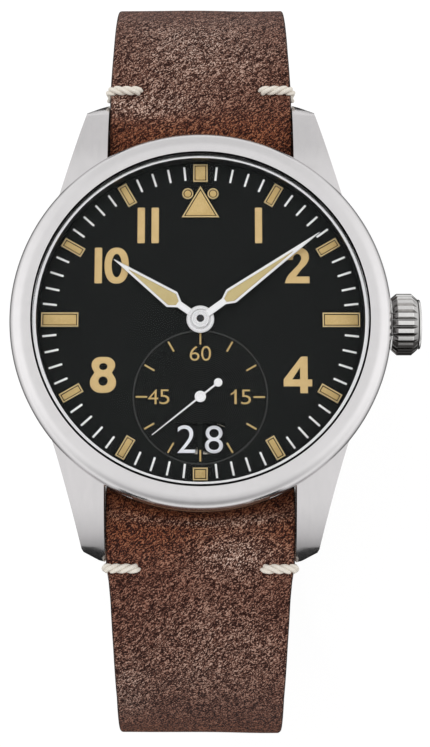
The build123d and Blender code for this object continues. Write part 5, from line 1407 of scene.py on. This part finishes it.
def tackThread(name, spec):
    # each ply = the path round the strap's edge + a small circle that turns about it as the share of the path grows
    shape, s = strapShape, tackShape
    place = strapLine(spec, np.array([spec["tacks"]]))[0]
    wide = float(np.interp(spec["tacks"], *spec["widths"])) + s["clear"]
    half = shape["half"] + s["clear"]
    ringAngle = np.linspace(0, 2 * np.pi, s["ringSteps"], endpoint=False)
    meshes = []
    for side in (1, -1):
        inner = wide - s["reach"]
        turn = wide - s["corner"]
        straight = np.linspace(inner - 0.3, turn, 60)
        bend = np.radians(np.linspace(90, 0, 30))
        dive = -s["dive"] * np.clip((inner + 0.55 - straight) / 0.8, 0, 1) ** 2
        top = np.stack([straight, half + s["above"] + dive], 1)
        arc = np.stack([turn + (s["corner"] + s["beside"]) * np.cos(bend),
                        half - s["corner"] + (s["corner"] + s["above"]) * np.sin(bend)], 1)
        drop = np.stack([np.full(12, arc[-1, 0]), np.linspace(half - s["corner"], -half + s["corner"], 12)], 1)
        path = np.concatenate([top, arc[1:], drop[1:-1], (arc * [1, -1])[:0:-1], (top * [1, -1])[::-1]])
        way = np.gradient(path, axis=0)
        way /= np.linalg.norm(way, axis=1, keepdims=True)
        outward = np.stack([-way[:, 1], way[:, 0]], 1)
        share = np.linspace(0, 1, len(path))
        for ply in range(s["plies"]):
            phase = 2 * np.pi * (share * s["turns"] + ply / s["plies"])
            sway, lift = s["coil"] * np.cos(phase), s["coil"] * np.sin(phase) * s["squash"]
            centre = path + outward * sway[:, None]
            size = s["ply"] * np.sqrt(np.clip(np.minimum(share, 1 - share) * 30, 0.02, 1))
            ringOut = size[:, None] * s["swell"] * np.cos(ringAngle)
            ringAlong = size[:, None] * s["swell"] * np.sin(ringAngle)
            x = centre[:, 0:1] + outward[:, 0:1] * ringOut
            off = centre[:, 1:2] + outward[:, 1:2] * ringOut
            along = lift[:, None] + ringAlong
            angle = place[2]
            o = place[0] + along * math.cos(angle) - off * math.sin(angle)
            z = place[1] + along * math.sin(angle) + off * math.cos(angle)
            points = np.stack([side * x, spec["side"] * o, z], -1)
            # painted shade where the plies lie against each other, near the middle of the twist
            near = np.sqrt((sway[:, None] + ringOut) ** 2 + along ** 2)
            plyShade = np.clip(1.3 - near / s["coil"], 0, 1)
            steps, last = s["ringSteps"], len(path) - 1
            faces = gridFaces(len(path), steps, False, True)
            cap = [list(range(steps)), list(range(last * steps, (last + 1) * steps))]
            mesh = bpy.data.meshes.new(name)
            mesh.from_pydata((points.reshape(-1, 3) * mm).tolist(), [], faces.tolist() + cap)
            layer = mesh.attributes.new("plyShade", "FLOAT", "POINT")
            layer.data.foreach_set("value", plyShade.astype(np.float32).ravel())
            cleanMesh(mesh)
            meshes.append(mesh)
    return joined(name, meshes)


addPiece("upperTacks", tackThread("upperTacks", strapShape["upper"]), "strap_upper_half", thread,
         ["bar_tacks_upper"])
addPiece("lowerTacks", tackThread("lowerTacks", strapShape["lower"]), "strap_lower_half", thread,
         ["bar_tacks_lower"])
print("threads ready")

keeperShape = {"inside": (18.7, 6.35), "wall": 1.1, "width": 6.0, "drop": 1.525, "round": 0.35, "bend": 0.9,
               "paintFrom": 2.65, "paintFade": 0.3, "liningFrom": -0.4, "fixedAt": 8.0, "slidingAt": 17.5}


def evenSteps(outline, pitch):
    # a closed outline with points added along its longer sides
    out = []
    for a, b in zip(outline, np.roll(outline, -1, 0)):
        steps = max(int(np.linalg.norm(b - a) / pitch), 1)
        out += [a + (b - a) * k / steps for k in range(steps)]
    return np.array(out)


def keeperLoop(name, at):
    # place = point of a rounded rectangle + the section's depth along its outward normal, the section's width along Y
    s = keeperShape
    end = strapLine(strapShape["upper"], np.array([strapShape["upper"]["length"]]))[0]
    wide, tall = s["inside"][0] / 2 + s["wall"] / 2, s["inside"][1] / 2 + s["wall"] / 2
    corners = [(-wide, -tall), (wide, -tall), (wide, tall), (-wide, tall)]
    path = evenSteps(roundedCorners(corners, s["bend"] + s["wall"] / 2, 9), 0.5)
    way = np.roll(path, -1, 0) - np.roll(path, 1, 0)
    way /= np.linalg.norm(way, axis=1, keepdims=True)
    outward = np.stack([way[:, 1], -way[:, 0]], 1)
    deep, broad = s["wall"] / 2, s["width"] / 2
    outline = roundedCorners([(-deep, -broad), (deep, -broad), (deep, broad), (-deep, broad)], s["round"], 6)
    section = evenSteps(outline, 0.6)
    x = path[:, 0:1] + outward[:, 0:1] * section[:, 0]
    z = path[:, 1:2] + outward[:, 1:2] * section[:, 0]
    y = end[0] + at + np.repeat(section[None, :, 1], len(path), 0)
    points = np.stack([x, y, end[1] - s["drop"] + z], -1)
    rim = np.broadcast_to(np.clip((np.abs(section[:, 1]) - s["paintFrom"]) / s["paintFade"], 0, 1), x.shape)
    back = np.broadcast_to((section[:, 0] < s["liningFrom"]) * 1.0, x.shape)
    return meshFrom(name, points.reshape(-1, 3), gridFaces(len(path), len(section), True, True),
                    {"edge": rim, "lining": back})


addPiece("fixedKeeperLeather", keeperLoop("fixedKeeperLeather", keeperShape["fixedAt"]), "strap_upper_half", leather,
         ["keeper_fixed"], 50)
addPiece("slidingKeeperLeather", keeperLoop("slidingKeeperLeather", keeperShape["slidingAt"]), "loose_keeper",
         leather, ["keeper_sliding"], 50)
print("keepers ready")

# CAD pieces whose own shape stays, with their finish
kept = {
    "case_back": metals["caseSteel"], "crown_tube": metals["caseSteel"], "crown_seal": sealAndShadeBlack,
    "case_back_gasket": sealAndShadeBlack, "case_back_screws": metals["screwSteel"], "bridge_screws": metals["screwSteel"],
    "winding_stem": metals["screwSteel"], "setting_lever": metals["screwSteel"],
    "spring_bars": metals["screwSteel"], "dial": dialBlack, "date_units_ring": dateBlack,
    "date_tens_disc": dateBlack, "movement_ring": ringWhite, "main_plate": metals["nickelPlate"],
    "train_bridge": metals["nickelPlate"], "circuit_board": boardGreen, "chip": chipBlack,
    "quartz_can": metals["canSteel"], "battery": metals["canSteel"], "battery_clip": metals["canSteel"],
    "coil": metals["copperWire"], "coil_core": metals["softIron"], "stator": metals["softIron"],
    "rotor": metals["softIron"], "centre_wheel": metals["wheelBrass"], "third_wheel": metals["wheelBrass"],
    "fourth_wheel": metals["wheelBrass"], "fifth_wheel": metals["wheelBrass"],
    "cannon_pinion": metals["wheelBrass"], "minute_wheel": metals["wheelBrass"],
    "hour_wheel": metals["wheelBrass"], "buckle_frame": metals["buckleSteel"],
    "buckle_bar": metals["buckleSteel"], "buckle_tongue": metals["buckleSteel"],
}
for nodeName, material in kept.items():
    piece = nodes[nodeName]
    piece.data.materials.clear()
    piece.data.materials.append(material)
print("CAD pieces dressed")
